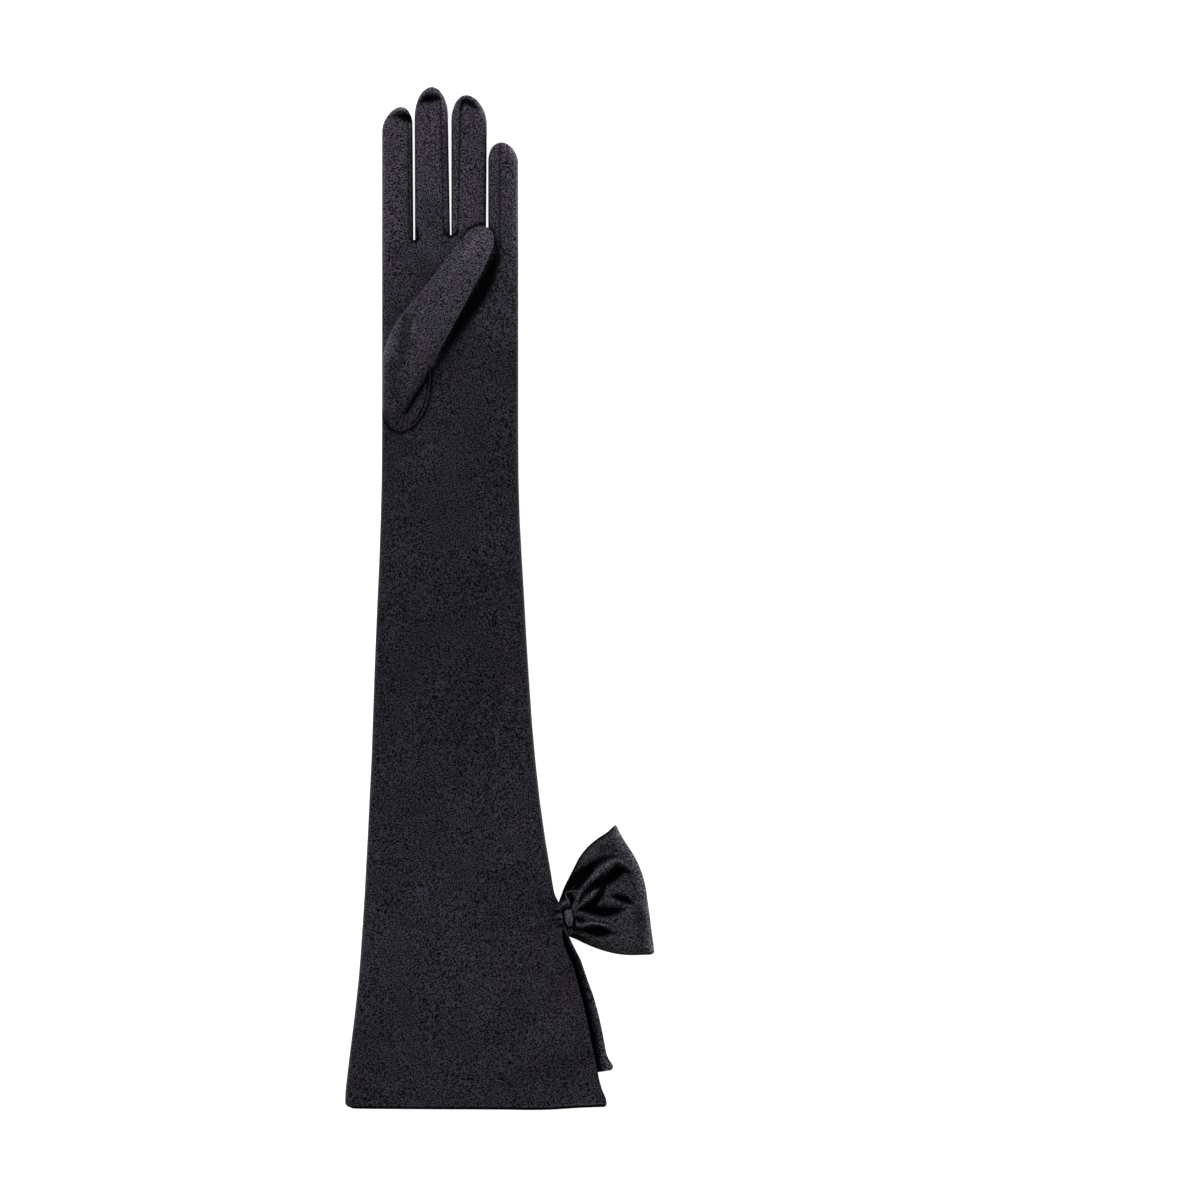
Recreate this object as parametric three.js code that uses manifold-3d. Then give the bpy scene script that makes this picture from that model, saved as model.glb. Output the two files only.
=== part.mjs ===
// A satin opera glove for the left hand. It lies on its back with the palm up and the thumb
// folded over it. The sleeve flares to the cuff, has a slit along the little finger's side,
// and carries a bow at the top of the slit: one half lies beside the sleeve, one under it.
// Units are millimetres. X runs towards the little finger's side, Y from the cuff's hem to
// the fingertips, and Z up from the table.
import * as THREE from "three";
import Module from "manifold-3d";

const wasm = await Module();
wasm.setup();

// Cloth
const FABRIC = 1; // thickness of the satin
const SEAM_GAP = 0.3; // clearance between pieces that are sewn to each other

// Hand
const PALM_LENGTH = 144; // wrist to the forks between the fingers
const HAND_HEIGHT = 12; // loft of the hand as it lies
const HAND_EDGE = 8; // reach of the rounded side edges
const CROWN = 0.07; // share of the height by which the middle stands above the sides
const FINGER_GAP = 2;
const FINGER_ROOT = 34; // how far a finger's tube runs back into the palm
const FINGER_SUNK = 2.5; // how much lower the tube starts there
const FINGERTIP = 11; // length of a finger's rounded end
const FINGER_EDGE = 0.78; // share of a finger's half width that is rounded at each side
const FINGER_SHOULDER = 0.07; // share of the half width from the middle to the shoulder
const FINGER_CROWN = 0.08; // share of a finger's height
const FINGER_END_HEIGHT = 0.25; // share of the height that is left at the very tip
const FINGERTIP_ROWS = [0.35, 0.62, 0.82, 0.94, 0.99]; // shares of the rounded end
const FINGERS = [
  { name: "index", width: 17.7, length: 77 },
  { name: "middle", width: 19.5, length: 87.5 },
  { name: "ring", width: 19.7, length: 83 },
  { name: "little", width: 17.4, length: 55 },
];

// Side strips between the fingers: how far each seam lies in from its finger's side
const FOURCHETTES = [
  { name: "fourchette_index_middle", seam: 3.6, nextSeam: 1.9 },
  { name: "fourchette_middle_ring", seam: 4.7, nextSeam: 4.2 },
  { name: "fourchette_ring_little", seam: 1.9, nextSeam: 6.4 },
];
const FOURCHETTE_POINT = 5; // reach of the strip's point below the fork
const FOURCHETTE_TAPER = 15; // length over which a strip narrows towards the fingertip
const FOURCHETTE_FOOT = 1.6; // half width of the strip at its point

// Thumb
const THUMB_LENGTH = 132; // foot to tip, straight
const THUMB_WIDTH = 31;
const THUMB_HEIGHT = 10.5;
const THUMB_LEAN = 22.8; // degrees from the line of the fingers
const THUMB_BEND = 11; // how far the middle stands out from the straight line
const THUMB_FROM_SIDE = 10.5; // foot of the thumb, in from the hand's edge
const THUMB_FROM_WRIST = 28; // foot of the thumb, above the wrist
const THUMB_FOOT_HEIGHT = 4; // height of the axis at its foot, inside the palm
const THUMB_CLEARANCE = 0.4; // between the thumb and the palm that it lies on
const THUMB_LEAST_HALF = 0.4; // least half width and half height of the thumb's hollow
const THUMB_POINTS = 20; // points around one section

// Sleeve
const SLEEVE_LENGTH = 369; // hem to wrist
const CUFF_HEIGHT = 14;
const FLARE_THUMB_SIDE = 22.5; // how far the hem stands out past the hand
const FLARE_BOW_SIDE = 52;
const SLIT_LENGTH = 100.5; // hem to the foot of the bow's knot
const SLIT_LIPS = 6; // height of the two layers together along the slit
const SLIT_SAG = 75; // width over which the upper layer sinks towards the slit
const SLIT_SAG_FADE = 45; // length over which that fades out above the slit
const HEM = 3; // depth of the turned hem
const HEM_BULGE = 0.35; // how far the turned hem stands out
const BACK_HEM_RISE = 20; // how much higher the back's hem ends at the slit

// Bow
const BOW_REACH = 49; // knot to the outer edge of one half
const BOW_HEIGHT = 78; // corner to corner of one half
const BOW_LOFT = 11; // thickness of the half beside the sleeve
const BOW_PRESSED = 3; // thickness of the half that the sleeve lies on
const BOW_EDGE = 2.6; // thickness of a seamed edge
const WAIST_HEIGHT = 14.5;
const WAIST_THICKNESS = 7.4;
const KNOT_WIDTH = 6;
const KNOT_WALL = 1.2;
const KNOT_FROM_SLEEVE = 4.4; // knot's centre to the sleeve's edge
const KNOT_ABOVE_SLIT = 12.5;
const BOW_FREE_ANGLE = 18; // degrees, the half beside the sleeve
const BOW_HIDDEN_ANGLE = 193; // degrees, the half under the sleeve
const TURNING_SLIT = 4; // opening in the waist, covered by the knot

// Shares of the sleeve's length, and of the flare on each side, from hem to wrist
const SLEEVE_ROWS = [
  { up: 0, thumbSide: 1, bowSide: 1 },
  { up: 0.03, thumbSide: 0.99, bowSide: 0.95 },
  { up: 0.08, thumbSide: 0.86, bowSide: 0.88 },
  { up: 0.17, thumbSide: 0.68, bowSide: 0.73 },
  { up: 0.27, thumbSide: 0.55, bowSide: 0.48 },
  { up: 0.33, thumbSide: 0.47, bowSide: 0.43 },
  { up: 0.39, thumbSide: 0.42, bowSide: 0.35 },
  { up: 0.46, thumbSide: 0.34, bowSide: 0.28 },
  { up: 0.55, thumbSide: 0.29, bowSide: 0.2 },
  { up: 0.65, thumbSide: 0.24, bowSide: 0.14 },
  { up: 0.75, thumbSide: 0.18, bowSide: 0.1 },
  { up: 0.87, thumbSide: 0.08, bowSide: 0.04 },
  { up: 1, thumbSide: 0, bowSide: 0 },
];

// The slit's two edges: shares of its length, and of the flare on the bow's side
const SLIT_ROWS = [
  { up: -0.05, front: 1.01, back: 1.16 },
  { up: 0.22, front: 0.91, back: 1.07 },
  { up: 0.31, front: 0.88, back: 1 },
  { up: 0.48, front: 0.78, back: 0.94 },
  { up: 0.63, front: 0.71, back: 0.86 },
  { up: 0.83, front: 0.61, back: 0.7 },
  { up: 1, front: 0.5, back: 0.52 },
];

// The rounded corner of the hem: shares of the turned corner
const CORNER = 9;
const CORNER_ROWS = [
  { up: 0, inset: 0.62 },
  { up: 0.12, inset: 0.32 },
  { up: 0.35, inset: 0.12 },
  { up: 1, inset: 0 },
];

// The thumb from foot to tip: shares of its length, width and height, and its climb on to the palm
const THUMB_ROWS = [
  { along: 0, width: 0.3, height: 0.7, climb: 0 },
  { along: 0.03, width: 0.5, height: 0.9, climb: 0.03 },
  { along: 0.09, width: 0.7, height: 1.1, climb: 0.09 },
  { along: 0.23, width: 0.86, height: 1.25, climb: 0.33 },
  { along: 0.36, width: 0.97, height: 1.18, climb: 0.62 },
  { along: 0.48, width: 0.97, height: 1.08, climb: 0.9 },
  { along: 0.6, width: 0.9, height: 1, climb: 1 },
  { along: 0.73, width: 0.79, height: 1, climb: 1 },
  { along: 0.85, width: 0.68, height: 0.96, climb: 1 },
  { along: 0.925, width: 0.6, height: 0.86, climb: 1 },
  { along: 0.97, width: 0.46, height: 0.66, climb: 0.99 },
  { along: 0.99, width: 0.28, height: 0.4, climb: 0.97 },
  { along: 1, width: 0.12, height: 0.2, climb: 0.96 },
];

// One half of the bow, from waist to outer edge: shares of its reach, of the spread from the
// waist's height to the corners, and of its loft
const BOW_ROWS = [
  { along: 0, out: 0, spread: 0, loft: 0.67 },
  { along: 0.08, out: 0.08, spread: 0, loft: 0.67 },
  { along: 0.2, out: 0.16, spread: 0.26, loft: 0.8 },
  { along: 0.35, out: 0.3, spread: 0.54, loft: 1 },
  { along: 0.55, out: 0.5, spread: 0.76, loft: 1 },
  { along: 0.75, out: 0.68, spread: 0.9, loft: 0.85 },
  { along: 0.9, out: 0.79, spread: 0.97, loft: 0.55 },
  { along: 1, out: 0.86, spread: 1, loft: 0 },
];
const BOW_BULGE = 0.14; // how far the outer edge's middle stands out, as a share of the reach

// Folds that run out from the knot: place across the half, width and depth as shares of it
const BOW_FOLDS = [
  { across: 0.52, width: 0.16, depth: 0.4, from: 0.08, to: 0.95 },
  { across: 0.08, width: 0.13, depth: 0.3, from: 0.1, to: 0.75 },
  { across: -0.22, width: 0.1, depth: 0.18, from: 0.1, to: 0.6 },
  { across: -0.5, width: 0.14, depth: 0.34, from: 0.08, to: 0.7 },
];

// Worked out from the sizes above
const HAND_WIDTH =
  FINGERS.reduce((sum, finger) => sum + finger.width, 0) +
  (FINGERS.length - 1) * FINGER_GAP;
const THUMB_SIDE = -HAND_WIDTH / 2;
const BOW_SIDE = HAND_WIDTH / 2;
const FORK_Y = SLEEVE_LENGTH + PALM_LENGTH;
const LIFT = BOW_PRESSED + 1.5 * SEAM_GAP;
const KNOT_ANGLE = (BOW_FREE_ANGLE + BOW_HIDDEN_ANGLE - 180) / 2;
const THUMB_AXIS_Z = HAND_HEIGHT + THUMB_CLEARANCE + THUMB_HEIGHT / 2;
const WAIST_Z = WAIST_THICKNESS / 2 + KNOT_WALL + SEAM_GAP;

const degrees = THREE.MathUtils.degToRad;
const lerp = THREE.MathUtils.lerp;
const clamp = THREE.MathUtils.clamp;
const smoothstep = THREE.MathUtils.smoothstep;

const steps = (from, to, count) =>
  Array.from({ length: count + 1 }, (_, i) => lerp(from, to, i / count));

// The value of one column of a table at a share, on straight lines between the rows.
function fromRows(rows, share, key, column) {
  const next = rows.findIndex((row) => row[key] >= share);
  if (next === 0) return rows[0][column];
  if (next < 0) return rows.at(-1)[column];
  const [a, b] = [rows[next - 1], rows[next]];
  return lerp(a[column], b[column], (share - a[key]) / (b[key] - a[key]));
}

function fanCap(points, first, count) {
  const centre = new THREE.Vector3();
  for (let j = 0; j < count; j++) centre.addScaledVector(points[first + j], 1 / count);
  points.push(centre);
  const middle = points.length - 1;
  return Array.from({ length: count }, (_, j) => [middle, first + j, first + ((j + 1) % count)]);
}

function stripCap(first, count) {
  const triangles = [];
  for (let j = 0; j + 1 < count / 2; j++) {
    const [a, b] = [first + j, first + j + 1];
    const [c, d] = [first + count - 2 - j, first + count - 1 - j];
    triangles.push([a, b, c], [a, c, d]);
  }
  return triangles;
}

// A closed solid through rings with as many points each. A capped end is a fan around its middle,
// or a strip between the ring's first half and its second half, for a bent ring.
function loft(rings, capAsStrip = false) {
  const count = rings[0].length;
  const points = rings.flat();
  const triangles = [];
  for (let i = 0; i + 1 < rings.length; i++) {
    for (let j = 0; j < count; j++) {
      const [a, b] = [i * count + j, i * count + ((j + 1) % count)];
      triangles.push([a, b, b + count], [a, b + count, a + count]);
    }
  }
  for (const [first, turn] of [
    [0, false],
    [(rings.length - 1) * count, true],
  ]) {
    const cap = capAsStrip ? stripCap(first, count) : fanCap(points, first, count);
    triangles.push(...(turn ? cap : cap.map(([a, b, c]) => [a, c, b])));
  }
  const volume = triangles.reduce(
    (sum, [a, b, c]) => sum + points[a].dot(new THREE.Vector3().crossVectors(points[b], points[c])),
    0,
  );
  const facingOut = volume > 0 ? triangles : triangles.map(([a, b, c]) => [a, c, b]);
  return new wasm.Manifold(
    new wasm.Mesh({
      numProp: 3,
      vertProperties: new Float32Array(points.flatMap((p) => [p.x, p.y, p.z])),
      triVerts: new Uint32Array(facingOut.flat()),
    }),
  );
}

// A solid prism over an outline in the plan, from one height to another.
function prism(outline, low, high) {
  return loft([low, high].map((z) => outline.map(([x, y]) => new THREE.Vector3(x, y, z))));
}

function union(solids) {
  return solids.reduce((sum, solid) => sum.add(solid));
}

// A flattened section across Y: a level underside, rounded sides and a crowned top. The places
// across are even up to the shoulder, which lies in from the right side, and two more follow.
// The first half of the ring is its lower half, and each point there has one above it.
const SIDE_POINTS = 4;

function flatRing({ y, left, right, shoulder, bottom, top, edge, across, crown }) {
  const xs = [...steps(left + edge, shoulder, across), ...steps(shoulder, right - edge, 2).slice(1)];
  const middle = (bottom + top) / 2;
  const half = (top - bottom) / 2;
  const crownAt = (x) => {
    const share = (2 * (x - left)) / (right - left) - 1;
    return top + crown * (1 - share * share);
  };
  const at = (x, z) => new THREE.Vector3(x, y, z);
  const sides = Array.from({ length: SIDE_POINTS / 2 }, (_, i) => {
    const turn = (Math.PI * (i + 1)) / (SIDE_POINTS + 1);
    return { out: edge * Math.sin(turn), up: half * Math.cos(turn) };
  });
  const lower = [
    ...sides.map(({ out, up }) => at(left + edge - out, middle - up)).reverse(),
    ...xs.map((x) => at(x, bottom)),
    ...sides.map(({ out, up }) => at(right - edge + out, middle - up)),
  ];
  const upper = [
    ...sides.map(({ out, up }) => at(left + edge - out, middle + up)).reverse(),
    ...xs.map((x) => at(x, crownAt(x))),
    ...sides.map(({ out, up }) => at(right - edge + out, middle + up)),
  ];
  return [...lower, ...upper.reverse()];
}

// Plan of the sleeve: where its sides run
const thumbSideAt = (y) =>
  THUMB_SIDE - FLARE_THUMB_SIDE * fromRows(SLEEVE_ROWS, y / SLEEVE_LENGTH, "up", "thumbSide");
const bowSideAt = (y) =>
  BOW_SIDE + FLARE_BOW_SIDE * fromRows(SLEEVE_ROWS, y / SLEEVE_LENGTH, "up", "bowSide");
const slitAt = (y, layer) =>
  BOW_SIDE + FLARE_BOW_SIDE * fromRows(SLIT_ROWS, y / SLIT_LENGTH, "up", layer);

// The knot's place, and a half's own axes there
const KNOT_Y = SLIT_LENGTH + KNOT_ABOVE_SLIT;
const KNOT_X = bowSideAt(KNOT_Y) + KNOT_FROM_SLEEVE;
const directionAt = (angle) =>
  new THREE.Vector3(Math.cos(degrees(angle)), Math.sin(degrees(angle)), 0);

// How far the sleeve's underside is lifted by the bow's hidden half.
const LIFT_MARGIN = 4;
const LIFT_FALL = 22;
const LIFT_MORE = 4.6; // more lift beside the knot, where the hidden half is still gathered
const LIFT_MORE_REACH = 0.4; // share of the reach over which that fades
function liftAt(x, y) {
  const out = directionAt(BOW_HIDDEN_ANGLE);
  const [dx, dy] = [x - KNOT_X, y - KNOT_Y];
  const along = dx * out.x + dy * out.y;
  const aside = Math.abs(dx * -out.y + dy * out.x);
  const spread = fromRows(BOW_ROWS, along / BOW_REACH, "out", "spread");
  const half = lerp(WAIST_HEIGHT, BOW_HEIGHT, spread) / 2;
  const outside = Math.max(aside - half, along - BOW_REACH, -along, 0);
  const more = LIFT_MORE * (1 - smoothstep(along / BOW_REACH, 0, LIFT_MORE_REACH));
  return (LIFT + more) * (1 - smoothstep(outside, LIFT_MARGIN, LIFT_MARGIN + LIFT_FALL));
}
const TOP_LIFT = 0.35; // share of the lift that reaches the sleeve's upper layer

// The share by which the upper layer has sunk towards the slit's lips.
function sagAt(x, y) {
  const edge = y < SLIT_LENGTH ? slitAt(y, "front") : bowSideAt(y);
  const aside = smoothstep(x, edge - SLIT_SAG, edge);
  return aside * (1 - smoothstep(y, SLIT_LENGTH, SLIT_LENGTH + SLIT_SAG_FADE));
}

// How far a point of the sleeve moves up at a place, by its share from the lower layer to the
// upper one. Each layer keeps its thickness.
function riseAt(x, y, share) {
  const sag = sagAt(x, y);
  const lift = liftAt(x, y) * lerp(1, lerp(TOP_LIFT, 1, sag), share);
  return lift - (CUFF_HEIGHT - SLIT_LIPS) * sag * share;
}

function settled(point, height) {
  const share = clamp((point.z - FABRIC) / (height - 2 * FABRIC), 0, 1);
  point.z += riseAt(point.x, point.y, share);
  return point;
}

// The sleeve and palm as one flat tube. An inset of FABRIC gives its hollow.
const SLEEVE_STEPS = 26;
const SLEEVE_STEP = SLEEVE_LENGTH / SLEEVE_STEPS;
const PALM_STEPS = 5;
const SLIT_SPARE = 8; // the tube runs past the slit's edges, which are then cut
const JOIN = 1; // how far the closed tube runs into the part with the slit
const SLIT_WEB = 1.5; // cloth left above the slit's end, as a share of the fabric
const SHOULDER = 3; // from the last even place across to the rounded side

function bodyRing(y, inset, slit) {
  const height = lerp(CUFF_HEIGHT, HAND_HEIGHT, smoothstep(y / SLEEVE_LENGTH, 0, 1));
  const hem = inset ? 0 : HEM_BULGE * (1 - smoothstep(y, HEM, HEM + 1));
  const corner = CORNER * fromRows(CORNER_ROWS, y / CORNER, "up", "inset");
  const right = slit ? slitAt(y, "back") + SLIT_SPARE : bowSideAt(y);
  const ring = flatRing({
    y,
    left: thumbSideAt(y) + corner + inset,
    right: right - inset,
    shoulder: bowSideAt(y) - HAND_EDGE - SHOULDER,
    bottom: inset,
    top: height * (1 - CROWN) - inset + hem,
    edge: HAND_EDGE - inset,
    across: 8,
    crown: height * CROWN,
  });
  return ring.map((point) => settled(point, height));
}

// The tube below the slit's end is open at its side. The closed tube above runs into it a little.
function body(inset) {
  const end = SLIT_LENGTH - SLIT_WEB * inset;
  const ys = [
    ...CORNER_ROWS.map((row) => row.up * CORNER),
    ...steps(SLEEVE_STEP, SLEEVE_LENGTH, SLEEVE_STEPS - 1),
    ...steps(FORK_Y - inset, SLEEVE_LENGTH, PALM_STEPS).slice(0, -1),
  ].sort((a, b) => a - b);
  const open = [...(inset ? [-1] : []), ...ys.filter((y) => y < end - JOIN), end];
  const closed = [end - JOIN, end, ...ys.filter((y) => y > end + JOIN)];
  return union([
    loft(open.map((y) => bodyRing(y, inset, true)), true),
    loft(closed.map((y) => bodyRing(y, inset, false)), true),
  ]);
}

// Left side of each finger, counted from the thumb's side
const fingerLeft = (index) =>
  THUMB_SIDE +
  FINGERS.slice(0, index).reduce((sum, finger) => sum + finger.width + FINGER_GAP, 0);

function finger(index, inset) {
  const { width, length } = FINGERS[index];
  const left = fingerLeft(index);
  const rings = [];
  const addRing = (y, share, sunk = 0) => {
    const half = (width / 2 - inset) * share;
    const middle = left + width / 2;
    const height = (HAND_HEIGHT - 2 * inset) * lerp(FINGER_END_HEIGHT, 1, share) - sunk;
    rings.push(
      flatRing({
        y,
        left: middle - half,
        right: middle + half,
        shoulder: middle - FINGER_SHOULDER * half,
        bottom: HAND_HEIGHT / 2 - height / 2,
        top: HAND_HEIGHT / 2 + (0.5 - FINGER_CROWN) * height,
        edge: FINGER_EDGE * half,
        across: 1,
        crown: FINGER_CROWN * height,
      }),
    );
  };
  const straight = FORK_Y + length - FINGERTIP;
  addRing(FORK_Y - FINGER_ROOT, 1, FINGER_SUNK);
  for (const y of [FORK_Y, (FORK_Y + straight) / 2, straight]) addRing(y, 1);
  for (const share of FINGERTIP_ROWS)
    addRing(straight + (FINGERTIP - inset) * share, Math.sqrt(1 - share * share));
  return loft(rings, true);
}

const hand = (inset) => union([body(inset), ...FINGERS.map((_, index) => finger(index, inset))]);

// Thumb
function thumb(inset) {
  const lean = degrees(THUMB_LEAN);
  const forward = new THREE.Vector3(Math.sin(lean), Math.cos(lean), 0);
  const aside = new THREE.Vector3(forward.y, -forward.x, 0);
  const foot = new THREE.Vector3(
    THUMB_SIDE + THUMB_FROM_SIDE,
    SLEEVE_LENGTH + THUMB_FROM_WRIST,
    0,
  );
  return loft(
    THUMB_ROWS.map((row) => {
      const along = lerp(inset, THUMB_LENGTH - inset, row.along);
      const half = Math.max((THUMB_WIDTH * row.width) / 2 - inset, THUMB_LEAST_HALF);
      const rise = Math.max((THUMB_HEIGHT * row.height) / 2 - inset, THUMB_LEAST_HALF);
      const bend = -4 * THUMB_BEND * row.along * (1 - row.along);
      const z = lerp(THUMB_FOOT_HEIGHT, THUMB_AXIS_Z, row.climb);
      return Array.from({ length: THUMB_POINTS }, (_, i) => {
        const turn = (2 * Math.PI * i) / THUMB_POINTS;
        return foot
          .clone()
          .addScaledVector(forward, along)
          .addScaledVector(aside, bend + half * Math.cos(turn))
          .setZ(z + rise * Math.sin(turn));
      });
    }),
  );
}

// Plan of the strip between two fingers, widened by extra on every side.
const PLAN_OVERLAP = 0.1; // by which the plan's two halves overlap

function fourchettePlan(index, extra) {
  const { seam, nextSeam } = FOURCHETTES[index];
  const side = fingerLeft(index) + FINGERS[index].width;
  const nextSide = side + FINGER_GAP;
  const middle = side + FINGER_GAP / 2;
  const tip = FORK_Y + FINGERS[index].length - FABRIC;
  const nextTip = FORK_Y + FINGERS[index + 1].length - FABRIC;
  const point = FORK_Y - FOURCHETTE_POINT - extra;
  const own = [
    [middle + PLAN_OVERLAP, point],
    [middle + PLAN_OVERLAP, tip + extra],
    [side - extra, tip + extra],
    [side - seam - extra, tip - FOURCHETTE_TAPER],
    [side - seam - extra, FORK_Y + FOURCHETTE_POINT],
    [middle - FOURCHETTE_FOOT - extra, point],
  ];
  const next = [
    [middle - PLAN_OVERLAP, point],
    [middle - PLAN_OVERLAP, nextTip + extra],
    [nextSide + extra, nextTip + extra],
    [nextSide + nextSeam + extra, nextTip - FOURCHETTE_TAPER],
    [nextSide + nextSeam + extra, FORK_Y + FOURCHETTE_POINT],
    [middle + FOURCHETTE_FOOT + extra, point],
  ];
  return union([own, next].map((outline) => prism(outline, -1, HAND_HEIGHT + 1)));
}

// Cuts that open the slit and step the two hems. They follow the middle between the two layers.
const middleAt = (x, y) => CUFF_HEIGHT / 2 + riseAt(x, y, 0.5);
const CUT_STEPS = 10;
const CUT_TOP = 3 * CUFF_HEIGHT;
const CUT_SPARE = 0.5; // the cuts end a little above the slit, clear of the closed tube
const CUT_START = -2; // the cuts begin below the hem
const HEM_TRIM = 0.5; // the back's hem lies this much higher than the front's at the far side
const FAR_X = slitAt(0, "back") + 4 * SLIT_SPARE;

function frontCut() {
  return loft(
    steps(CUT_START, SLIT_LENGTH + CUT_SPARE, CUT_STEPS).map((y) => {
      const xs = steps(slitAt(y, "front"), FAR_X, CUT_STEPS);
      return [
        ...xs.map((x) => new THREE.Vector3(x, y, middleAt(x, y))),
        ...xs.reverse().map((x) => new THREE.Vector3(x, y, CUT_TOP)),
      ];
    }),
    true,
  );
}

function backCut() {
  const ys = steps(CUT_START, SLIT_LENGTH + CUT_SPARE, CUT_STEPS);
  const edge = ys.map((y) => [slitAt(y, "back"), y]);
  return prism([[FAR_X, CUT_START], ...edge, [FAR_X, ys.at(-1)]], -1, CUT_TOP);
}

function backHemCut() {
  const start = thumbSideAt(0) + HAND_EDGE;
  return loft(
    steps(start, FAR_X, 8).map((x) => {
      const share = Math.min((x - start) / (slitAt(0, "back") - start), 1);
      const hem = lerp(HEM_TRIM, BACK_HEM_RISE, share);
      const top = middleAt(x, 0);
      return [
        new THREE.Vector3(x, CUT_START, -1),
        new THREE.Vector3(x, hem, -1),
        new THREE.Vector3(x, hem, top),
        new THREE.Vector3(x, CUT_START, top),
      ];
    }),
  );
}

// The upper skin from side to side, then the lower skin back again. Each skin is placed by a
// share across from -1 to 1, its reach, its half width and its heights.
const BOW_ACROSS = 12;
const INNER_HALF = 0.3; // least half height of the hollow
const EDGE_SHARE = 0.4; // share of the waist's thickness that is left at its sides

function skins({ angle, half, reachAt, upperAt, lowerAt }) {
  const out = directionAt(angle);
  const side = new THREE.Vector3(-out.y, out.x, 0);
  const upper = [];
  const lower = [];
  for (let i = 0; i <= BOW_ACROSS; i++) {
    const across = (2 * i) / BOW_ACROSS - 1;
    const place = new THREE.Vector3(KNOT_X, KNOT_Y, 0)
      .addScaledVector(out, reachAt(across))
      .addScaledVector(side, half * across);
    upper.push(place.clone().setZ(upperAt(across)));
    lower.unshift(place.clone().setZ(lowerAt(across)));
  }
  return [...upper, ...lower];
}

const pillow = (across) => Math.sqrt(Math.max(1 - across ** 4, 0));

const FOLD_START = 0.15; // shares of the reach over which a fold begins and runs out
const FOLD_END = 0.3;

function foldAt(folds, across, along) {
  return folds.reduce((sum, fold) => {
    const near = Math.exp(-(((across - fold.across) / fold.width) ** 2));
    const begun = smoothstep(along, fold.from, fold.from + FOLD_START);
    const left = 1 - smoothstep(along, fold.to - FOLD_END, fold.to);
    return sum + fold.depth * near * begun * left;
  }, 0);
}

const WAIST_END = 0.08; // share of a half's length that keeps the waist's section
const EDGE_START = 0.9; // share of the length from which the hollow draws in to the outer edge

function bowRing(row, { angle, loftHeight, folds, fullFrom }, inset) {
  const waist = 1 - smoothstep(row.along, WAIST_END, fullFrom);
  const thick = lerp(Math.max(loftHeight * row.loft, BOW_EDGE), WAIST_THICKNESS, waist);
  const z = Math.max(lerp(thick / 2, WAIST_Z, waist), thick / 2);
  const edge = lerp(BOW_EDGE, EDGE_SHARE * WAIST_THICKNESS, waist);
  const rise = (across) => lerp(edge, thick, pillow(across)) / 2;
  return skins({
    angle,
    half: lerp(WAIST_HEIGHT, BOW_HEIGHT, row.spread) / 2 - 2 * inset,
    reachAt: (across) =>
      BOW_REACH * (row.out + BOW_BULGE * row.along * (1 - across * across)) -
      inset * smoothstep(row.along, EDGE_START, 1),
    upperAt: (across) =>
      z + Math.max(rise(across) * (1 - foldAt(folds, across, row.along)) - inset, INNER_HALF),
    lowerAt: (across) => z - Math.max(rise(across) - inset, INNER_HALF),
  });
}

// The two halves. Each has its full loft from a share of its length on.
const FREE_HALF = {
  angle: BOW_FREE_ANGLE,
  loftHeight: BOW_LOFT,
  folds: BOW_FOLDS,
  fullFrom: 0.4,
};
const HIDDEN_HALF = {
  angle: BOW_HIDDEN_ANGLE,
  loftHeight: BOW_PRESSED,
  folds: [],
  fullFrom: 0.2,
};

// Both halves as one bag, gathered at the waist.
function bow(inset) {
  const hidden = BOW_ROWS.slice(1)
    .reverse()
    .map((row) => {
      const ring = bowRing(row, HIDDEN_HALF, inset);
      const count = BOW_ACROSS + 1;
      return [...ring.slice(0, count).reverse(), ...ring.slice(count).reverse()];
    });
  const free = BOW_ROWS.map((row) => bowRing(row, FREE_HALF, inset));
  return loft([...hidden, ...free], true);
}

// A band around the waist, grown by extra. Its two rims are turned in a little.
const BAND_RIM = 0.35;
const BAND_ROWS = [
  { along: -0.5, rim: 1 },
  { along: -0.36, rim: 0 },
  { along: 0.36, rim: 0 },
  { along: 0.5, rim: 1 },
];

function waistBand(length, extra) {
  return loft(
    BAND_ROWS.map((row) => {
      const grown = extra - BAND_RIM * row.rim;
      const rise = (across) =>
        (WAIST_THICKNESS * lerp(EDGE_SHARE, 1, pillow(across))) / 2 + grown;
      return skins({
        angle: KNOT_ANGLE,
        half: WAIST_HEIGHT / 2 + grown,
        reachAt: () => length * row.along,
        upperAt: (across) => WAIST_Z + rise(across),
        lowerAt: (across) => WAIST_Z - rise(across),
      });
    }),
    true,
  );
}

// The pieces
const rectangle = (x, y, halfX, halfY) => [
  [x - halfX, y - halfY],
  [x + halfX, y - halfY],
  [x + halfX, y + halfY],
  [x - halfX, y + halfY],
];
const FAR = 2 * (SLEEVE_LENGTH + PALM_LENGTH);
const bodyHollow = hand(FABRIC);
const abovePalm = prism(rectangle(0, 0, FAR, FAR), HAND_HEIGHT / 2, FAR);
const thumbHole = thumb(-SEAM_GAP).intersect(abovePalm);
const slitCuts = union([frontCut(), backCut(), backHemCut()]);
const shell = hand(0).subtract(bodyHollow).subtract(thumbHole).subtract(slitCuts);
const fourchettes = FOURCHETTES.map((_, index) => shell.intersect(fourchettePlan(index, 0)));
const gloveBody = FOURCHETTES.reduce(
  (rest, _, index) => rest.subtract(fourchettePlan(index, SEAM_GAP)),
  shell,
);
const thumbPiece = thumb(0).subtract(thumb(FABRIC)).subtract(bodyHollow).intersect(abovePalm);
const turningSlit = prism(
  rectangle(KNOT_X, KNOT_Y, TURNING_SLIT / 3, TURNING_SLIT / 2),
  0,
  WAIST_Z,
);
const bowPiece = bow(0).subtract(bow(FABRIC)).subtract(turningSlit);
const waistHole = waistBand(4 * KNOT_WIDTH, SEAM_GAP);
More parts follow.
